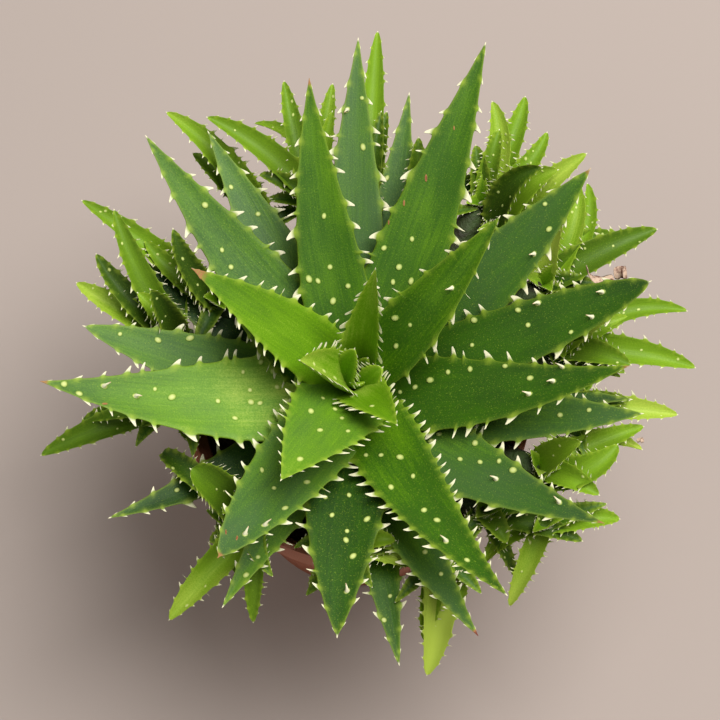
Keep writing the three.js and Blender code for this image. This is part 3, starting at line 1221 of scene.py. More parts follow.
    def grown(self, blank: Mesh, place: Pair, size: float, rise: float, side: Side, turn: float,
              stretch: float = 1.0) -> Piece:
        """Return a spot or prickle: a copy of its blank, laid on the leaf's skin.

        Args:
            blank: The mesh to copy.
            place: How far along the leaf and across it.
            size: Its radius scale in millimetres.
            rise: Its height scale in millimetres.
            side: The face that it stands on.
            turn: How far it is turned on the face, in radians.
            stretch: How much longer than wide it is.

        Returns:
            The new object.
        """
        piece = copy_of(blank, "growth")
        corners = corners_of(piece.data)
        longer = corners[:, 1] * stretch
        turned_x = corners[:, 0] * math.cos(turn) - longer * math.sin(turn)
        turned_y = corners[:, 0] * math.sin(turn) + longer * math.cos(turn)
        half = self.width / 2 * self.width_share(np.array([place[0]]))[0] + FORM.tip_size
        share = np.clip(place[0] + turned_y * size / self.length, 0, 1)
        across = np.clip(place[1] + turned_x * size / half, -0.98, 0.98)
        depth = np.sqrt(1 - across**2) * side.value
        lift = corners[:, 2] * rise * side.value
        placed = self.on_skin(share, across, depth, lift, np.zeros_like(lift))
        put_corners(piece.data, placed * MM)
        if side is Side.UNDER:
            piece.data.flip_normals()
        return piece

    def spot(self, blanks: Blanks, place: Pair, size: float, side: Side = Side.UPPER) -> Piece:
        """Return a pale raised spot.

        Args:
            blanks: The blanks to copy.
            place: How far along the leaf and across it.
            size: Its radius in millimetres.
            side: The face that it stands on.

        Returns:
            The spot.
        """
        turn = FORM.spot_turn * math.sin(self.seed + place[0] * 40)
        longer, uneven = FORM.spot_stretch
        stretch = longer + uneven * math.cos(self.seed + place[0] * 63)
        piece = self.grown(blanks.spot.mesh, place, size, FORM.spot_rise, side, turn, stretch)
        corners = corners_of(blanks.spot.mesh)
        radius = np.hypot(corners[:, 0], corners[:, 1])
        half = self.width / 2 * self.width_share(np.array([place[0]]))[0]
        share = np.clip(place[0] + corners[:, 1] * size / self.length, 0, 1)
        out = place[1] * half + corners[:, 0] * size
        steepness, most = FORM.spot_halo
        halo = np.clip((1 - radius) * steepness, 0, most)
        fill = np.clip(FORM.spot_fill - FORM.spot_fill * radius, 0, 1)
        self.paint(piece.data, share, out, halo=halo, spot=fill)
        return piece

    def scar(self, blanks: Blanks, place: Pair, size: float) -> Piece:
        """Return a small reddish scar, long and thin.

        Args:
            blanks: The blanks to copy.
            place: How far along the leaf and across it.
            size: Half its width in millimetres.

        Returns:
            The scar.
        """
        piece = self.grown(blanks.spot.mesh, place, size, FORM.spot_rise / 2, Side.UPPER, FORM.scar_turn,
                           FORM.scar_stretch)
        corners = corners_of(blanks.spot.mesh)
        radius = np.hypot(corners[:, 0], corners[:, 1])
        share = np.full(len(corners), place[0])
        middle, fading, most = FORM.scar_redness
        self.paint(piece.data, share, corners[:, 0] * size, dry=np.clip(middle - fading * radius, 0, most))
        return piece

    def prickle(self, blanks: Blanks, place: Pair, size: float, turn: float) -> Piece:
        """Return a hooked prickle.

        Args:
            blanks: The blanks to copy.
            place: How far along the leaf and across it.
            size: Its height in millimetres.
            turn: How far it is turned, in radians.

        Returns:
            The prickle.
        """
        piece = self.grown(blanks.prickle.mesh, place, size, size, Side.UPPER, turn)
        height = np.clip(corners_of(blanks.prickle.mesh)[:, 2], 0, 1)
        share = np.full(len(height), place[0])
        tooth = FORM.prickle_foot + (1 - FORM.prickle_foot) * height
        self.paint(piece.data, share, np.zeros(len(height)), tooth=tooth)
        return piece

    def scattered(self, blanks: Blanks, count: int, side: Side, size: float) -> list[Piece]:
        """Return spots scattered over one face, a little closer to its foot, with room between them.

        Args:
            blanks: The blanks to copy.
            count: The most spots that it gets.
            side: The face that they are on.
            size: The usual radius in millimetres.

        Returns:
            The spots that found room.
        """
        draw = random.Random(self.seed * 31 + side.value)
        taken: list[Pair] = []
        for _ in range(count * 3):
            along = draw.uniform(*FORM.spots_along) ** FORM.spots_crowd
            across = draw.uniform(-FORM.spots_across, FORM.spots_across)
            gaps = [math.hypot((along - a) * self.length, (across - b) * self.width / 2) for a, b in taken]
            if len(taken) < count and all(gap > FORM.spot_gap * size for gap in gaps):
                taken.append((along, across))
        return [self.spot(blanks, place, size * draw.uniform(*FORM.spot_sizes), side) for place in taken]


def at_bearing(bearing: float, reach: float, height: float) -> Vec:
    """Return the place at a bearing in degrees, a reach from the axis and a height."""
    angle = math.radians(bearing)
    return np.array([reach * math.cos(angle), reach * math.sin(angle), height])


@dataclass(frozen=True)
class RosetteRow:
    """One leaf of the main rosette, as the part's source has it, with its looks.

    Spots, prickles and scars are places in the photograph's pixels, a scar's with its size.
    """

    foot: Pair
    tip: Triple
    width: float
    bow: float
    sway: float
    point: float
    tones: Pair
    spots: tuple[Pair, ...] = ()
    prickles: tuple[Pair, ...] = ()
    drying: Tip = Tip.FRESH
    teeth: Teeth = Teeth.USUAL
    fold: float = 0.0
    plump: float = 1.0
    # How frosty the leaf is: waxy bloom and painted sheen.
    bloom_and_painted_sheen: float = 0.0
    scars: tuple[Triple, ...] = ()


# Tones are partly each leaf's own colour and partly painted shade, such as the dark foot of leaf 18.
ROSETTE: tuple[RosetteRow, ...] = (
    RosetteRow((190, 120), (106, 4.5, 135), 8, 1, 0, 0.6, (0.5, 0.36), teeth=Teeth.HEART, fold=0.2,
               plump=1.6),
    RosetteRow((296, 119), (352, 8, 132), 9, 1.5, 0, 0.6, (0.42, 0.34), teeth=Teeth.HEART, fold=0.25,
               plump=2.0),
    RosetteRow((262, 119), (296, 28, 146), 16, 3, 0, 1, (0.22, 0.44), ((372, 406), (352, 396)),
               teeth=Teeth.HEART, fold=0.2),
    RosetteRow((200, 119), (192, 19, 147), 16, 2, 0, 0.8, (0.2, 0.2), ((314, 364), (324, 371),
               (335, 378)), teeth=Teeth.HEART, fold=0.5),
    RosetteRow((85, 119), (76, 23, 160), 15, 2, 0, 1, (0.28, 0.32), teeth=Teeth.HEART, fold=0.6),
    RosetteRow((250, 116), (243, 52, 156), 31, 2, 0, 1, (0.48, 0.34), ((323, 398), (320, 430), (300, 459),
               (348, 431), (335, 409), (311, 411), (342, 418)), bloom_and_painted_sheen=0.08),
    RosetteRow((160, 116), (157, 57, 160), 23, 3, 0, 1, (0.3, 0.44), drying=Tip.SCORCHED),
    RosetteRow((38, 116), (41, 60, 162), 22, 2, -2, 1, (0.58, 0.6), ((410, 325), (396, 346), (395, 318)),
               ((452, 288),), teeth=Teeth.FEW, fold=0.2),
    RosetteRow((345, 108), (355, 86, 151), 27, -2, -4, 1, (0.72, 0.7), ((400, 372), (415, 387),
               (430, 380), (400, 392), (448, 372), (470, 369), (505, 366), (530, 378)), ((562, 366),
               (553, 381), (529, 394)), Tip.TAN),
    RosetteRow((100, 109), (100, 94, 155), 24, 0, 3, 1, (0.66, 0.5), ((324, 216), (330, 267), (309, 279),
               (318, 281), (348, 286), (333, 301)), (), Tip.TAN),
    RosetteRow((290, 108), (299, 93, 151), 25, 0, -4, 1, (0.46, 0.8), ((366, 455), (381, 455), (400, 457),
               (413, 476), (391, 487), (424, 510), (467, 560), (437, 520)), ((446, 541),),
               teeth=Teeth.CLOSE),
    RosetteRow((200, 108), (187, 101, 150), 32, -3, 4, 1, (0.12, 0.56), ((243, 372), (261, 362),
               (273, 371), (250, 390), (277, 387), (251, 402), (260, 403), (282, 410), (287, 401),
               (235, 418), (218, 401), (172, 397), (155, 389), (79, 394), (64, 384)), ((104, 386),
               (136, 396)), Tip.TAN, bloom_and_painted_sheen=0.12, scars=((105, 403, 0.4),)),
    RosetteRow((60, 109), (68, 114, 156), 27, 1, -1, 1, (0.58, 0.6), ((412, 239), (384, 248), (399, 267),
               (393, 282), (411, 281)), ((418, 286),), scars=((426, 178, 0.45), (404, 203, 0.4),
               (454, 128, 0.3), (388, 222, 0.3))),
    RosetteRow((235, 105), (238, 81, 148), 28, 1, 0, 0.7, (0.3, 0.7), ((274, 488), (285, 508), (307, 482),
               (262, 470), (296, 455)), ((265, 525), (245, 534)), Tip.TAN, bloom_and_painted_sheen=0.14,
               scars=((226, 532, 0.3), (237, 538, 0.35))),
    RosetteRow((140, 105), (133, 104, 146), 26, -1, 2, 1, (0.6, 0.52), ((222, 250), (231, 267),
               (205, 205)), bloom_and_painted_sheen=0.07),
    RosetteRow((5, 105), (14, 98, 146), 25, -1, -1, 0.62, (0.62, 0.8), ((571, 332), (528, 325),
               (474, 320), (472, 345), (518, 310)), ((602, 292), (538, 303), (592, 317))),
    RosetteRow((305, 104), (324, 95, 140), 27, -1, -4, 1, (0.42, 0.88), ((439, 434), (431, 441),
               (475, 443), (460, 459), (499, 461), (513, 470), (480, 462)), ((496, 479), (559, 502)),
               Tip.TAN, bloom_and_painted_sheen=0.1),
    RosetteRow((262, 104), (266, 92, 140), 31, 1, -1, 0.85, (1.0, 0.76), ((349, 495), (325, 497),
               (367, 519), (347, 531), (346, 540), (353, 556), (332, 515)), ((347, 591),)),
    RosetteRow((155, 103), (150, 56, 140), 24, 0, 1, 1, (0.8, 0.8), ((243, 292),)),
    RosetteRow((92, 104), (90, 113, 146), 23, 1, 1, 1, (0.66, 0.55), ((362, 98), (363, 147)),
               ((347, 110),), bloom_and_painted_sheen=0.15),
    RosetteRow((30, 104), (40, 101, 144), 29, -1, -2, 0.85, (0.7, 0.66), ((545, 204), (549, 229)),
               ((534, 254),), Tip.TAN, bloom_and_painted_sheen=0.06, scars=((545, 204, 0.3), (549, 229, 0.35))),
    RosetteRow((345, 101), (350, 94, 130), 26, 0, -3, 0.9, (0.4, 0.66), ((589, 410), (560, 415),
               (538, 398)), bloom_and_painted_sheen=0.1),
    RosetteRow((175, 100), (172, 91, 134), 24, -1, 2, 0.75, (0.58, 0.52), ((120, 334), (158, 340),
               (190, 338)), bloom_and_painted_sheen=0.15),
    RosetteRow((121, 101), (121, 100, 130), 24, 1, 1, 1, (0.5, 0.6), ((231, 187), (258, 214)),
               bloom_and_painted_sheen=0.16),
    RosetteRow((76, 101), (80, 102, 130), 20, 1, -1, 1, (0.6, 0.6), ((387, 178),), bloom_and_painted_sheen=0.12),
    RosetteRow((280, 100), (293, 96, 126), 23, 1, -4, 1, (0.5, 0.64), ((441, 574), (425, 552)), (),
               Tip.RED, Teeth.CLOSE, bloom_and_painted_sheen=0.1),
    RosetteRow((355, 99), (355, 91, 120), 18, 2, 0, 1, (0.8, 0.8)),
    RosetteRow((158, 98), (151, 89, 122), 23, 0, 2, 1, (0.85, 0.95)),
    RosetteRow((238, 98), (241, 89, 120), 20, 2, 0, 1, (0.42, 0.52), ((258, 557), (246, 575)),
               bloom_and_painted_sheen=0.12),
    RosetteRow((215, 98), (210, 94, 114), 18, 0, 3, 1, (1.0, 0.78), ((177, 490), (205, 470))),
    RosetteRow((275, 98), (278, 95, 108), 18, 3, -1, 0.9, (0.7, 0.6), ((390, 596), (384, 620))),
)


@dataclass(frozen=True)
class Bud:
    """One of the youngest leaves, which close the middle over the stem."""

    bearing: float
    reach: float
    height: float
    width: float
    foot: Pair = (2.0, 117.0)
    bow: float = 1.5
    point: float = 0.8
    tones: Pair = (0.45, 0.3)
    teeth: float = 0.05
    plump: float = 1.8

    def leaf(self, seed: int) -> Leaf:
        """Return its leaf, placed on the stem.

        Args:
            seed: The number that its own small differences come from.

        Returns:
            The leaf.
        """
        foot = at_bearing(self.bearing, *self.foot)
        tip = at_bearing(self.bearing, self.reach, self.height)
        return Leaf(foot, tip, self.width, self.bow, 0.0, self.point, self.tones, seed, self.teeth,
                    plump=self.plump)


BUDS: tuple[Bud, ...] = (Bud(230, 1.5, 128, 5.0), Bud(50, 5.0, 128, 6.0), Bud(275, 4.5, 125, 7.0))


@dataclass
class MainRosette:
    """The main rosette's leaves, each a piece of its own."""

    foot_radius: float = 5.0
    heart_leaves: int = 8
    first_bud_seed: int = 60
    least_teeth: float = 0.55
    teeth_by_reach: float = 0.003
    teeth_by_width: float = 0.005
    spot_size: float = 1.04
    spot_sizes: Triple = (0.85, 1.0, 1.15)
    prickle_size: float = 2.6
    prickle_turn: float = 0.6
    under_spots: int = 9

    def leaf(self, number: int, row: RosetteRow) -> Leaf:
        """Return a row's leaf, placed on the stem, with longer teeth on a larger leaf.

        Args:
            number: The leaf's number, from the heart outwards.
            row: Its row.

        Returns:
            The leaf.
        """
        foot = at_bearing(row.foot[0], self.foot_radius, row.foot[1])
        teeth = self.least_teeth + self.teeth_by_reach * row.tip[1] + self.teeth_by_width * row.width
        return Leaf(foot, at_bearing(*row.tip), row.width, row.bow, row.sway, row.point, row.tones, number,
                    min(1.0, teeth), row.drying, row.fold, row.plump, row.bloom_and_painted_sheen)

    def dressing(self, blanks: Blanks, leaf: Leaf, row: RosetteRow) -> list[Piece]:
        """Return a leaf's spots, prickles and scars.

        Args:
            blanks: The blanks to copy.
            leaf: The leaf that they grow on.
            row: The leaf's row.

        Returns:
            The pieces to join to the leaf.
        """
        parts = [leaf.spot(blanks, leaf.place_of_pixel(pixel), self.spot_size * self.spot_sizes[index % 3])
                 for index, pixel in enumerate(row.spots)]
        for index, pixel in enumerate(row.prickles):
            place = leaf.place_of_pixel(pixel)
            turn = self.prickle_turn * math.sin(index * 2 + leaf.seed)
            parts.append(leaf.spot(blanks, place, self.spot_size))
            parts.append(leaf.prickle(blanks, place, self.prickle_size, turn))
        parts += [leaf.scar(blanks, leaf.place_of_pixel((x, y)), size) for x, y, size in row.scars]
        return parts + leaf.scattered(blanks, self.under_spots, Side.UNDER, self.spot_size)

    def build(self, blanks: Blanks, finish: Material) -> None:
        """Build and dress every leaf.

        Args:
            blanks: The blanks to copy.
            finish: The leaves' material.
        """
        for number, row in enumerate(ROSETTE, start=1):
            name = f"leaf_blade_{number:02d}"
            leaf = self.leaf(number, row)
            parts = [leaf.built(blanks.main[row.teeth], name)]
            if number == 1:
                parts += [bud.leaf(self.first_bud_seed + index).built(blanks.bud, name)
                          for index, bud in enumerate(BUDS)]
            piece = joined(parts + self.dressing(blanks, leaf, row), name)
            coat([piece], finish)
            finish_piece(piece, [f"leaf_{number:02d}"])


@dataclass(frozen=True)
class OffsetRow:
    """One offset: the top of its stem, and its leaves.

    Each leaf is its tip, as x, y and z, its width, its sway and its tone, which is partly its own
    colour and partly painted light and shade. Point is how full the leaves' points are, and ruff
    how many older leaves stand round its foot.
    """

    crown: Triple
    leaves: tuple[tuple[float, ...], ...]
    point: float = 0.68
    ruff: int = 4

    @property
    def outward(self) -> float:
        """Bearing of the crown from the pot's axis, in degrees."""
        return math.degrees(math.atan2(self.crown[1], self.crown[0]))


OFFSETS: tuple[OffsetRow, ...] = (
    OffsetRow((68, 12, 112), ((113, 27, 112, 10, 5, 0.36), (92, 23, 116, 9, 0, 0.25),
              (86, 22, 124, 9, 0, 0.1), (115, 7, 110, 12, 1, 0.3), (91, 3, 124, 11, 0, 0.5),
              (100, 10, 106, 8, 0, 0.5), (90, 3, 116, 8, 0, 0.5))),
    OffsetRow((64, 36, 112), ((76, 71, 122, 9, -4, 0.18), (81, 75, 112, 8, -6, 0.3),
              (70, 57, 128, 10, 2, 0.0), (96, 54, 110, 10, 6, 0.5), (103, 54, 120, 13, 0, 0.58))),
    OffsetRow((49, 56, 112), ((68, 70, 134, 13, 3, 0.25), (62, 68, 140, 11, 5, 0.78),
              (78, 76, 134, 11, 0, 0.15))),
    OffsetRow((43, 66, 114), ((47, 99, 128, 10, -4, 0.14), (59, 104, 122, 10, -2, 0.34),
              (66, 89, 124, 9, -4, 0.34), (41, 83, 126, 8, 0, 0.65), (49, 88, 128, 8, 0, 0.45))),
    OffsetRow((20, 62, 112), ((33, 99, 114, 8, 0, 0.05), (21, 84, 130, 8, 0, 0.6))),
    OffsetRow((3, 61, 113), ((7, 130, 122, 10, 0, 0.3), (5, 111, 116, 9, 0, 0.3), (8, 94, 130, 7, 0, 0.8),
              (10, 95, 128, 7, 0, 0.7))),
    OffsetRow((-15, 67, 113), ((-52, 91, 132, 11, -2, 0.4), (-37, 102, 106, 8, -8, 0.3),
              (-26, 108, 126, 9, 1, 0.5), (-9, 108, 124, 8, 0, 0.3), (-9, 93, 132, 7, 0, 0.3),
              (-34, 73, 124, 8, 0, 0.65))),
    OffsetRow((-33, 59, 112), ((-67, 97, 124, 11, -3, 0.26), (-47, 84, 122, 10, 0, 0.5),
              (-58, 85, 116, 9, 0, 0.5))),
    OffsetRow((-48, 30, 112), ((-95, 63, 124, 10, 0, 0.35), (-62, 46, 138, 10, 3, 0.8),
              (-61, 45, 132, 10, 3, 0.7), (-73, 49, 122, 9, 3, 0.4))),
    OffsetRow((-62, 17, 112), ((-82, 53, 138, 10, 2, 0.45), (-89, 42, 126, 10, 3, 0.75),
              (-96, 34, 120, 11, 2, 0.15), (-74, 27, 128, 9, 0, 0.3), (-69, 25, 136, 10, 0, 0.8))),
    OffsetRow((-60, -6, 110), ((-107, -23, 106, 12, 0, 0.55), (-93, -12, 110, 10, 0, 0.7),
              (-57, -20, 112, 8, 0, 0.8))),
    OffsetRow((-42, -43, 110), ((-54, -36, 132, 14, 0, 0.55), (-66, -23, 108, 9, 0, 0.85)), point=0.4,
              ruff=1),
    OffsetRow((-34, -50, 110), ((-62, -79, 104, 12, 0, 0.2), (-35, -78, 96, 8, 0, 0.4),
              (-49, -54, 109, 8, 0, 0.7)), ruff=2),
    OffsetRow((-2, -56, 112), ((19, -63, 112, 9, 0, 0.12), (12, -56, 118, 8, 0, 0.3),
              (-16, -67, 98, 8, 0, 0.35))),
    OffsetRow((27, -58, 108), ((23, -95, 92, 13, 2, -0.1), (22, -84, 96, 9, 0, 0.25),
              (35, -72, 102, 9, 0, 0.3), (37, -66, 108, 8, 0, 0.3))),
    OffsetRow((42, -44, 108), ((49, -55, 112, 9, 0, 0.55), (74, -54, 110, 10, 0, 0.7),
              (53, -62, 94, 6, 0, 0.75)), ruff=2),
    OffsetRow((62, -48, 108), ((51, -72, 94, 8, 0, 0.1), (43, -58, 98, 9, -3, 0.3),
              (87, -46, 108, 10, 0, 0.3)), ruff=1),
    OffsetRow((61, -30, 110), ((96, -21, 106, 8, 6, 0.1), (86, -24, 120, 13, -6, 0.3),
              (72, -28, 136, 12, 0, 0.3), (96, -15, 112, 10, 0, 0.25), (79, -41, 120, 10, 0, 0.3)),
              ruff=1),
    OffsetRow((66, -9, 110), ((108, -10, 110, 11, 0, 0.1), (91, -7, 116, 9, 0, 0.8)), ruff=2),
)


@dataclass(frozen=True)
class Whorl:
    """A ring of small leaves on an offset, each measure drawn from a range."""

    reach: Pair
    rise: Pair
    width: Pair
    tone: Pair
    bow: float
    teeth: float
    first_seed: int
    sway: Pair | None = None
    point: float = 0.9
    fold: float = 0.5

    def leaf(self, row: OffsetRow, bearing: float, draw: random.Random, seed: int) -> Leaf:
        """Return one leaf.

        Args:
            row: The offset that it grows on.
            bearing: Where it points, in degrees.
            draw: Where its measures are drawn from.
            seed: The offset's own number, which the whorl's first seed is added to.

        Returns:
            The leaf.
        """
        top = np.array(row.crown, float)
        tip = top + at_bearing(bearing, draw.uniform(*self.reach), draw.uniform(*self.rise))
        tone = draw.uniform(*self.tone)
        width = draw.uniform(*self.width)
        sway = draw.uniform(*self.sway) if self.sway else 0.0
        return Leaf(top, tip, width, self.bow, sway, self.point, (tone, tone), self.first_seed + seed,
                    self.teeth, fold=self.fold)


@dataclass
class Offsets:
    """The offsets: each a stem with its leaves, joined in one piece."""

    root_radius: float = 46.0
    foot_height: float = 94.0
    foot_radius: float = 5.0
    neck_radius: float = 4.0
    lean: float = 6.0
    curl: float = 0.6
    bow: float = 3.0
    # Painted shade added to the tone at each offset leaf's foot.
    shade: float = 0.14
    fold: float = 0.5
    warmth: float = 0.28
    tooth_size: float = 0.52
    spot_size: float = 0.62
    upper_spot_room: float = 11.0
    under_spot_room: float = 14.0
    seeds: int = 40
    heart: Whorl = Whorl(reach=(4.5, 8.1), rise=(6.3, 9.9), width=(5.0, 6.5), tone=(0.15, 0.45), bow=1.0,
                         teeth=0.28, first_seed=20)
    heart_turns: Triple = (20.0, 145.0, 265.0)
    heart_play: float = 20.0
    ruff: Whorl = Whorl(reach=(15.75, 23.1), rise=(-4.2, 7.0), width=(7.0, 9.0), tone=(0.55, 0.9), bow=2.0,
                        teeth=0.22, first_seed=30, sway=(-2.0, 2.0))
    ruff_spread: float = 110.0
    ruff_play: Pair = (0.2, 0.8)

    def stem(self, row: OffsetRow, blank: StemBlank, name: str) -> Piece:
        """Return an offset's stem, bent from the soil to its crown.

        Args:
            row: The offset.
            blank: The stem to copy.
            name: The new object's name.

        Returns:
            The stem's object.
        """
        top = np.array(row.crown, float)
        root = at_bearing(row.outward, self.root_radius, self.foot_height)
        middle = (root + top) / 2 + np.array([0, 0, self.lean])
        middle += (np.array([root[0], root[1], middle[2]]) - middle) * self.curl
        piece = copy_of(blank.mesh, name)
        corners = corners_of(piece.data)
        share = np.clip(corners[:, 2], 0, 1)
        places, along = bent(root, middle, top, share)
        side = np.cross(np.array([0.0, 1.0, 0.0]), along)
        side /= np.linalg.norm(side, axis=1, keepdims=True)
        front = np.cross(along, side)
        radius = (self.foot_radius + (self.neck_radius - self.foot_radius) * share)[:, None]
        placed = places + side * corners[:, 0:1] * radius + front * corners[:, 1:2] * radius
        put_corners(piece.data, placed * MM)
        return piece

    def main_leaves(self, row: OffsetRow, number: int) -> list[Leaf]:
        """Return an offset's own leaves, darker at the foot than at the tip with painted shade.

        Args:
            row: The offset.
            number: The offset's number.

        Returns:
            The leaves.
        """
        return [Leaf(np.array(row.crown, float), np.array(tip, float), width, self.bow, sway, row.point,
                     (tone + self.shade, tone), number * self.seeds + index, self.tooth_size, fold=self.fold,
                     warmth=self.warmth * (1 - tone))
                for index, (*tip, width, sway, tone) in enumerate(row.leaves)]

    def heart_leaves(self, row: OffsetRow, number: int) -> list[Leaf]:
        """Return the three young leaves in the middle of an offset.

        Args:
            row: The offset.
            number: The offset's number.

        Returns:
            The leaves.
        """
        draw = random.Random(number * 17)
        leaves = []
        for index, turn in enumerate(self.heart_turns):
            bearing = row.outward + turn + draw.uniform(-self.heart_play, self.heart_play)
            leaves.append(self.heart.leaf(row, bearing, draw, number * self.seeds + index))
        return leaves

    def ruff_leaves(self, row: OffsetRow, number: int) -> list[Leaf]:
        """Return the older leaves round an offset's foot, which are in the main leaves' shade.

        Args:
            row: The offset.
            number: The offset's number.

        Returns:
            The leaves.
        """
        draw = random.Random(number * 29)
        leaves = []
        for index in range(row.ruff):
            turn = self.ruff_spread * (2 * (index + draw.uniform(*self.ruff_play)) / row.ruff - 1)
            leaves.append(self.ruff.leaf(row, row.outward + turn, draw, number * self.seeds + index))
        return leaves

    def build(self, blanks: Blanks, finish: Material, stem_finish: Material) -> None:
        """Build and dress every offset.

        Args:
            blanks: The blanks to copy.
            finish: The leaves' material.
            stem_finish: The stems' material.
        """
        for number, row in enumerate(OFFSETS, start=1):
            name = f"offset_plant_{number:02d}"
            stem = self.stem(row, blanks.stem, name)
            coat([stem], stem_finish)
            parts = []
            for leaf in self.main_leaves(row, number):
                parts.append(leaf.built(blanks.small, name))
                for side, room in ((Side.UPPER, self.upper_spot_room), (Side.UNDER, self.under_spot_room)):
                    parts += leaf.scattered(blanks, int(leaf.length / room), side, self.spot_size)
            small = self.heart_leaves(row, number) + self.ruff_leaves(row, number)
            parts += [leaf.built(blanks.bud, name) for leaf in small]
            coat(parts, finish)
            piece = joined([stem, *parts], name)
            finish_piece(piece, [f"offset_{number:02d}"])


# Pot, soil and stem


@dataclass
class NurseryPot:
    """The pot: a tapered wall, a deep rim and drain holes, in millimetres."""

    height: float = 105.0
    base_radius: float = 43.0
    wall_top: float = 56.0
    rim_radius: float = 60.0
    rim_depth: float = 13.0
    wall: float = 2.0
    floor: float = 3.0
    edge: float = 0.8
    sides: int = 96
    holes: int = 6
    hole_radius: float = 4.0
    hole_circle: float = 30.0
    hole_start: float = 15.0
    hole_sides: int = 24
    sharp_angle: float = 40.0
    smooth_angle: float = 35.0

    @property
    def rings(self) -> tuple[Pair, ...]:
        """Radius and height of each ring, up the outside and back down the inside.

        Returns:
            A radius and a height for each ring.
        """
        rim_foot = self.height - self.rim_depth
        ledge = rim_foot + self.wall
        rim_inside = self.rim_radius - self.wall
        return ((self.base_radius, self.floor), (self.wall_top, rim_foot), (self.rim_radius, rim_foot),
                (self.rim_radius, self.height), (rim_inside, self.height), (rim_inside, ledge),
                (self.wall_top - self.wall, ledge), (self.base_radius - self.wall, self.floor))

    def build(self, finish: Material) -> None:
        """Build and dress the pot: a disc extruded up in rings, and then back down inside.

        Args:
            finish: The pot's material.
        """
        pot = upright_bar("pot_shell", self.sides, self.base_radius * MM, self.floor * MM)
        edit_faces(pot, lambda centre, normal: normal.z > 0.9)
        for (radius, level), (to_radius, to_level) in zip(self.rings, self.rings[1:]):
            way = (0, 0, (to_level - level) * MM)
            bpy.ops.mesh.extrude_region_move(TRANSFORM_OT_translate={"value": way})
            bpy.ops.transform.resize(value=(to_radius / radius, to_radius / radius, 1))
        leave_edit()
        self.drill(pot)
        edges = pot.modifiers.new("soft_edges", "BEVEL")
        edges.width = self.edge * MM
        edges.segments = 3
        edges.limit_method = "ANGLE"
        edges.angle_limit = math.radians(self.sharp_angle)
        bpy.ops.object.modifier_apply(modifier=edges.name)
        coat([pot], finish)
        finish_piece(pot, ["pot", "pot_rim"])
        bpy.ops.object.shade_smooth_by_angle(angle=math.radians(self.smooth_angle))

    def drill(self, pot: Piece) -> None:
        """Cut the drain holes through the floor.

        Args:
            pot: The pot's object.
        """
        for index in range(self.holes):
            bearing = self.hole_start + index * 360 / self.holes
            spot = at_bearing(bearing, self.hole_circle, self.floor / 2) * MM
            start_fresh()
            bpy.ops.mesh.primitive_cylinder_add(vertices=self.hole_sides, radius=self.hole_radius * MM,
                                                depth=4 * self.floor * MM, location=Vector(spot))
            drill = named("drain_drill")
            pick_only(pot)
            cut = pot.modifiers.new("drain_hole", "BOOLEAN")
            cut.operation = "DIFFERENCE"
            cut.solver = "EXACT"
            cut.object = drill
            bpy.ops.object.modifier_apply(modifier=cut.name)
            bpy.data.objects.remove(drill)


@dataclass
class SoilSurface:
    """The soil's gritty top, over the CAD soil, which keeps its place."""

    reach: float = 51.0
    edge_height: float = 94.0
    middle_height: float = 97.0
    middle_radius: float = 20.0
    edge_radius: float = 53.0
    grains: int = 420
    grain_sizes: Pair = (0.5, 1.9)
    grain_widths: Pair = (0.6, 1.0)
    grain_heights: Pair = (0.4, 0.8)
    grain_rise: float = 0.2
    grain_tilt: float = 0.5
    dent: Triple = (1.2, 0.7, 0.8)
    seed: int = 5

    def top(self, radius: float) -> float:
        """Return the soil's height at a distance from the axis.

        Args:
            radius: The distance from the axis.

        Returns:
            The height over the pot's foot.
        """
        sloping = self.edge_radius - self.middle_radius
        share = min(1.0, max(0.0, (radius - self.middle_radius) / sloping))
        return self.middle_height + (self.edge_height - self.middle_height) * share

    def lump(self) -> Mesh:
        """Return the mesh of an uneven lump with a radius of about 1.

        Returns:
            The mesh, which every grain copies.
        """
        start_fresh()
        bpy.ops.mesh.primitive_ico_sphere_add(subdivisions=1, radius=1)
        piece = named("grit_blank")
        edit_faces(piece, lambda centre, normal: normal.x > 0.3)
        bpy.ops.transform.resize(value=self.dent)
        leave_edit()
        return mesh_of(piece)

    def grain(self, lump: Mesh, name: str, draw: random.Random) -> Piece:
        """Return a grain: a lump of a random size, turned at random and laid on the soil.

        Args:
            lump: The mesh to copy.
            name: The new object's name.
            draw: Where its size, place and turn are drawn from.

        Returns:
            The grain.
        """
        radius = self.reach * math.sqrt(draw.random())
        size = draw.uniform(*self.grain_sizes)
        place = at_bearing(draw.uniform(0, 360), radius, self.top(radius) + self.grain_rise * size)
        width = draw.uniform(*self.grain_widths)
        height = draw.uniform(*self.grain_heights)
        grain = copy_of(lump, name)
        grain.scale = Vector((size, size * width, size * height)) * MM
        tilts = [draw.uniform(-self.grain_tilt, self.grain_tilt) for _ in range(2)]
        grain.rotation_euler = (*tilts, draw.uniform(0, 6.3))
        grain.location = Vector(place * MM)
        return grain

    def build(self, soil_finish: Material, grit_finish: Material) -> None:
        """Dress the CAD soil, and strew lumps of grit on it.

        Args:
            soil_finish: The soil's material.
            grit_finish: The grit's material.
        """
        coat([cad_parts["soil"]], soil_finish)
        lump = self.lump()
        draw = random.Random(self.seed)
        grains = [self.grain(lump, f"grain_{index}", draw) for index in range(self.grains)]
        grit = joined(grains, "soil_grit")
        settle()
        coat([grit], grit_finish)
        finish_piece(grit)


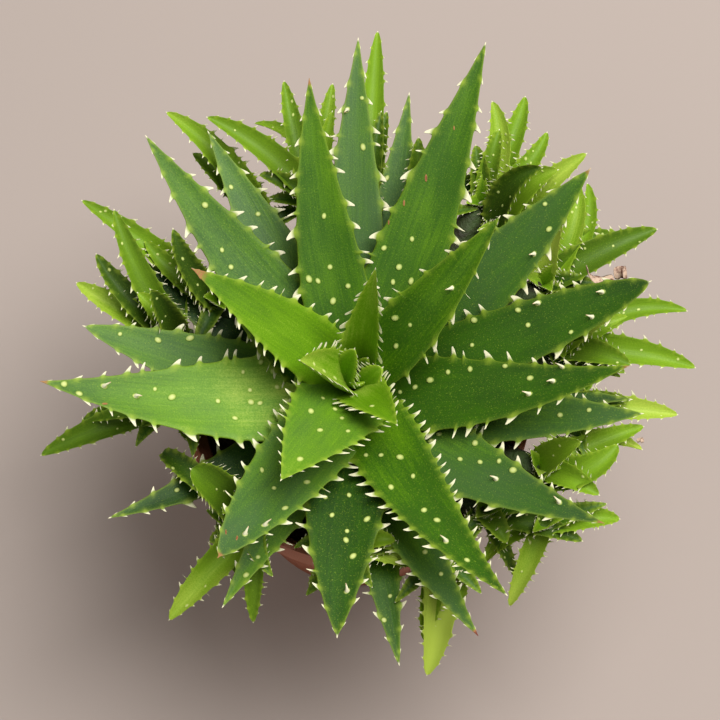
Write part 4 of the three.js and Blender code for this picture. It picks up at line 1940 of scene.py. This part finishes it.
@dataclass
class StemColumn:
    """The main stem, ringed where old leaves were."""

    foot_radius: float = 7.2
    neck_radius: float = 4.6
    foot_height: float = 95.0
    top_height: float = 121.0

    def build(self, blank: StemBlank, finish: Material) -> None:
        """Build and dress the stem.

        Args:
            blank: The stem to copy.
            finish: The stem's material.
        """
        piece = copy_of(blank.mesh, "ringed_stem")
        corners = corners_of(piece.data)
        share = np.clip(corners[:, 2], 0, 1)
        radius = (self.foot_radius + (self.neck_radius - self.foot_radius) * share) / (1 + blank.swell)
        height = self.foot_height + (self.top_height - self.foot_height) * share
        placed = np.stack((corners[:, 0] * radius, corners[:, 1] * radius, height), axis=1)
        put_corners(piece.data, placed * MM)
        coat([piece], finish)
        finish_piece(piece, ["main_stem"])


@dataclass(frozen=True)
class Scrap:
    """A dried scrap of leaf, by its place, length, width, bearing and how tightly it curls."""

    place: Triple
    length: float
    width: float
    bearing: float
    curl: float


@dataclass
class DriedScraps:
    """Dried scraps of leaf that have caught between the leaves."""

    steps: int = 12
    thickness: float = 0.35
    tightening: float = 1.3
    sideways: float = 0.5
    frayed: float = 0.16
    tilt: Pair = (0.5, 0.2)
    scraps: tuple[Scrap, ...] = (
        Scrap((86, 33, 127.5), 12.0, 4.5, 195, 1.9),
        Scrap((87, 34.5, 127.5), 6.5, 4.5, 15, 3.2),
        Scrap((41, -44, 104), 7.0, 3.5, 250, 2.2),
        Scrap((94, -20, 112), 3.6, 1.8, 25, 3.6),
    )

    def draw_out(self, piece: Piece, scrap: Scrap, number: int) -> None:
        """Draw the strip out along its curl, wavering and with frayed sides.

        Args:
            piece: The strip's first bit, active and in object mode.
            scrap: What the strip becomes.
            number: The scrap's number, which sets how its sides fray.
        """
        edit_edges(piece, lambda first, second: min(first.x, second.x) > 0)
        step = scrap.length * MM / self.steps
        for index in range(self.steps):
            angle = scrap.curl * ((index + 1) / self.steps) ** self.tightening
            aside = self.sideways * step * math.sin(index * 1.7)
            way = (step * math.cos(angle), aside, step * math.sin(angle))
            bpy.ops.mesh.extrude_region_move(TRANSFORM_OT_translate={"value": way})
            share = 1 + self.frayed * math.sin(index * 2.1 + number)
            bpy.ops.transform.resize(value=(1, share, 1))
        leave_edit()

    def build(self, finish: Material) -> None:
        """Build and dress every scrap: a strip extruded along a curl and thickened.

        Args:
            finish: The scraps' material.
        """
        for number, scrap in enumerate(self.scraps, start=1):
            start_fresh()
            bpy.ops.mesh.primitive_plane_add(size=1)
            piece = named(f"dried_scrap_{number}")
            piece.scale = (scrap.width * MM / 4, scrap.width * MM, 1)
            settle()
            self.draw_out(piece, scrap, number)
            wall = piece.modifiers.new("thickness", "SOLIDIFY")
            wall.thickness = self.thickness * MM
            bpy.ops.object.modifier_apply(modifier=wall.name)
            refine(piece, 1)
            piece.rotation_euler = (*self.tilt, math.radians(scrap.bearing))
            piece.location = Vector(scrap.place) * MM
            settle()
            coat([piece], finish)
            finish_piece(piece)


# Studio


@dataclass(frozen=True)
class SoftLight:
    """A square lamp that faces the plant, by its place, size and power."""

    place: Triple
    size: float
    power: float
    aim: Triple = (0.0, 0.0, 0.1)

    def build(self, name: str) -> None:
        """Add the lamp.

        Args:
            name: The lamp's name.
        """
        data = bpy.data.lights.new(name, "AREA")
        data.size = self.size
        data.energy = self.power
        light = bpy.data.objects.new(name, data)
        bpy.context.scene.collection.objects.link(light)
        light.location = self.place
        light.rotation_euler = (Vector(self.aim) - Vector(self.place)).to_track_quat("-Z", "Y").to_euler()


@dataclass
class Studio:
    """A plain pale floor and soft light."""

    floor_colour: Colour = tint(177, 163, 154)
    floor_size: float = 12.0
    lights: tuple[SoftLight, ...] = (
        SoftLight((0.55, 0.35, 1.6), 1.2, 37.0),
        SoftLight((-1.3, -0.5, 1.2), 1.6, 4.0),
    )
    sky: Colour = (1.0, 0.98, 0.95, 1.0)
    sky_strength: float = 0.22

    def build(self) -> None:
        """Add the floor, the lights and the sky."""
        start_fresh()
        bpy.ops.mesh.primitive_plane_add(size=self.floor_size)
        floor = named("studio_floor")
        make = Shader("studio_floor")
        make.surface.inputs["Base Color"].default_value = self.floor_colour
        make.surface.inputs["Roughness"].default_value = 0.9
        floor.data.materials.append(make.material)
        for number, light in enumerate(self.lights, start=1):
            light.build(f"soft_light_{number}")
        world = bpy.data.worlds.new("soft_sky")
        world.use_nodes = True
        background = world.node_tree.nodes["Background"]
        background.inputs["Color"].default_value = self.sky
        background.inputs["Strength"].default_value = self.sky_strength
        bpy.context.scene.world = world
        bpy.context.scene.view_settings.view_transform = "Standard"


def write_sizes() -> None:
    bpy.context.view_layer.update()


def main() -> None:
    """Build the studio and every piece of the plant, in order."""
    logging.basicConfig(level=logging.INFO, format="%(name)s %(message)s")
    CAMERA.build()
    Studio().build()
    blanks = Blanks()
    blanks.build()
    leaf_finish = WaxyLeaf().material()
    stem_finish = FleshyStem().material()
    soil_finish = PottingMixFinish()
    NurseryPot().build(PotPlastic().material())
    SoilSurface().build(soil_finish.material("potting_mix", 0.5), soil_finish.material("grit", 1.0))
    StemColumn().build(blanks.stem, stem_finish)
    MainRosette().build(blanks, leaf_finish)
    Offsets().build(blanks, leaf_finish, stem_finish)
    DriedScraps().build(DryHusk().material())
    write_sizes()


if __name__ == "__main__":
    main()
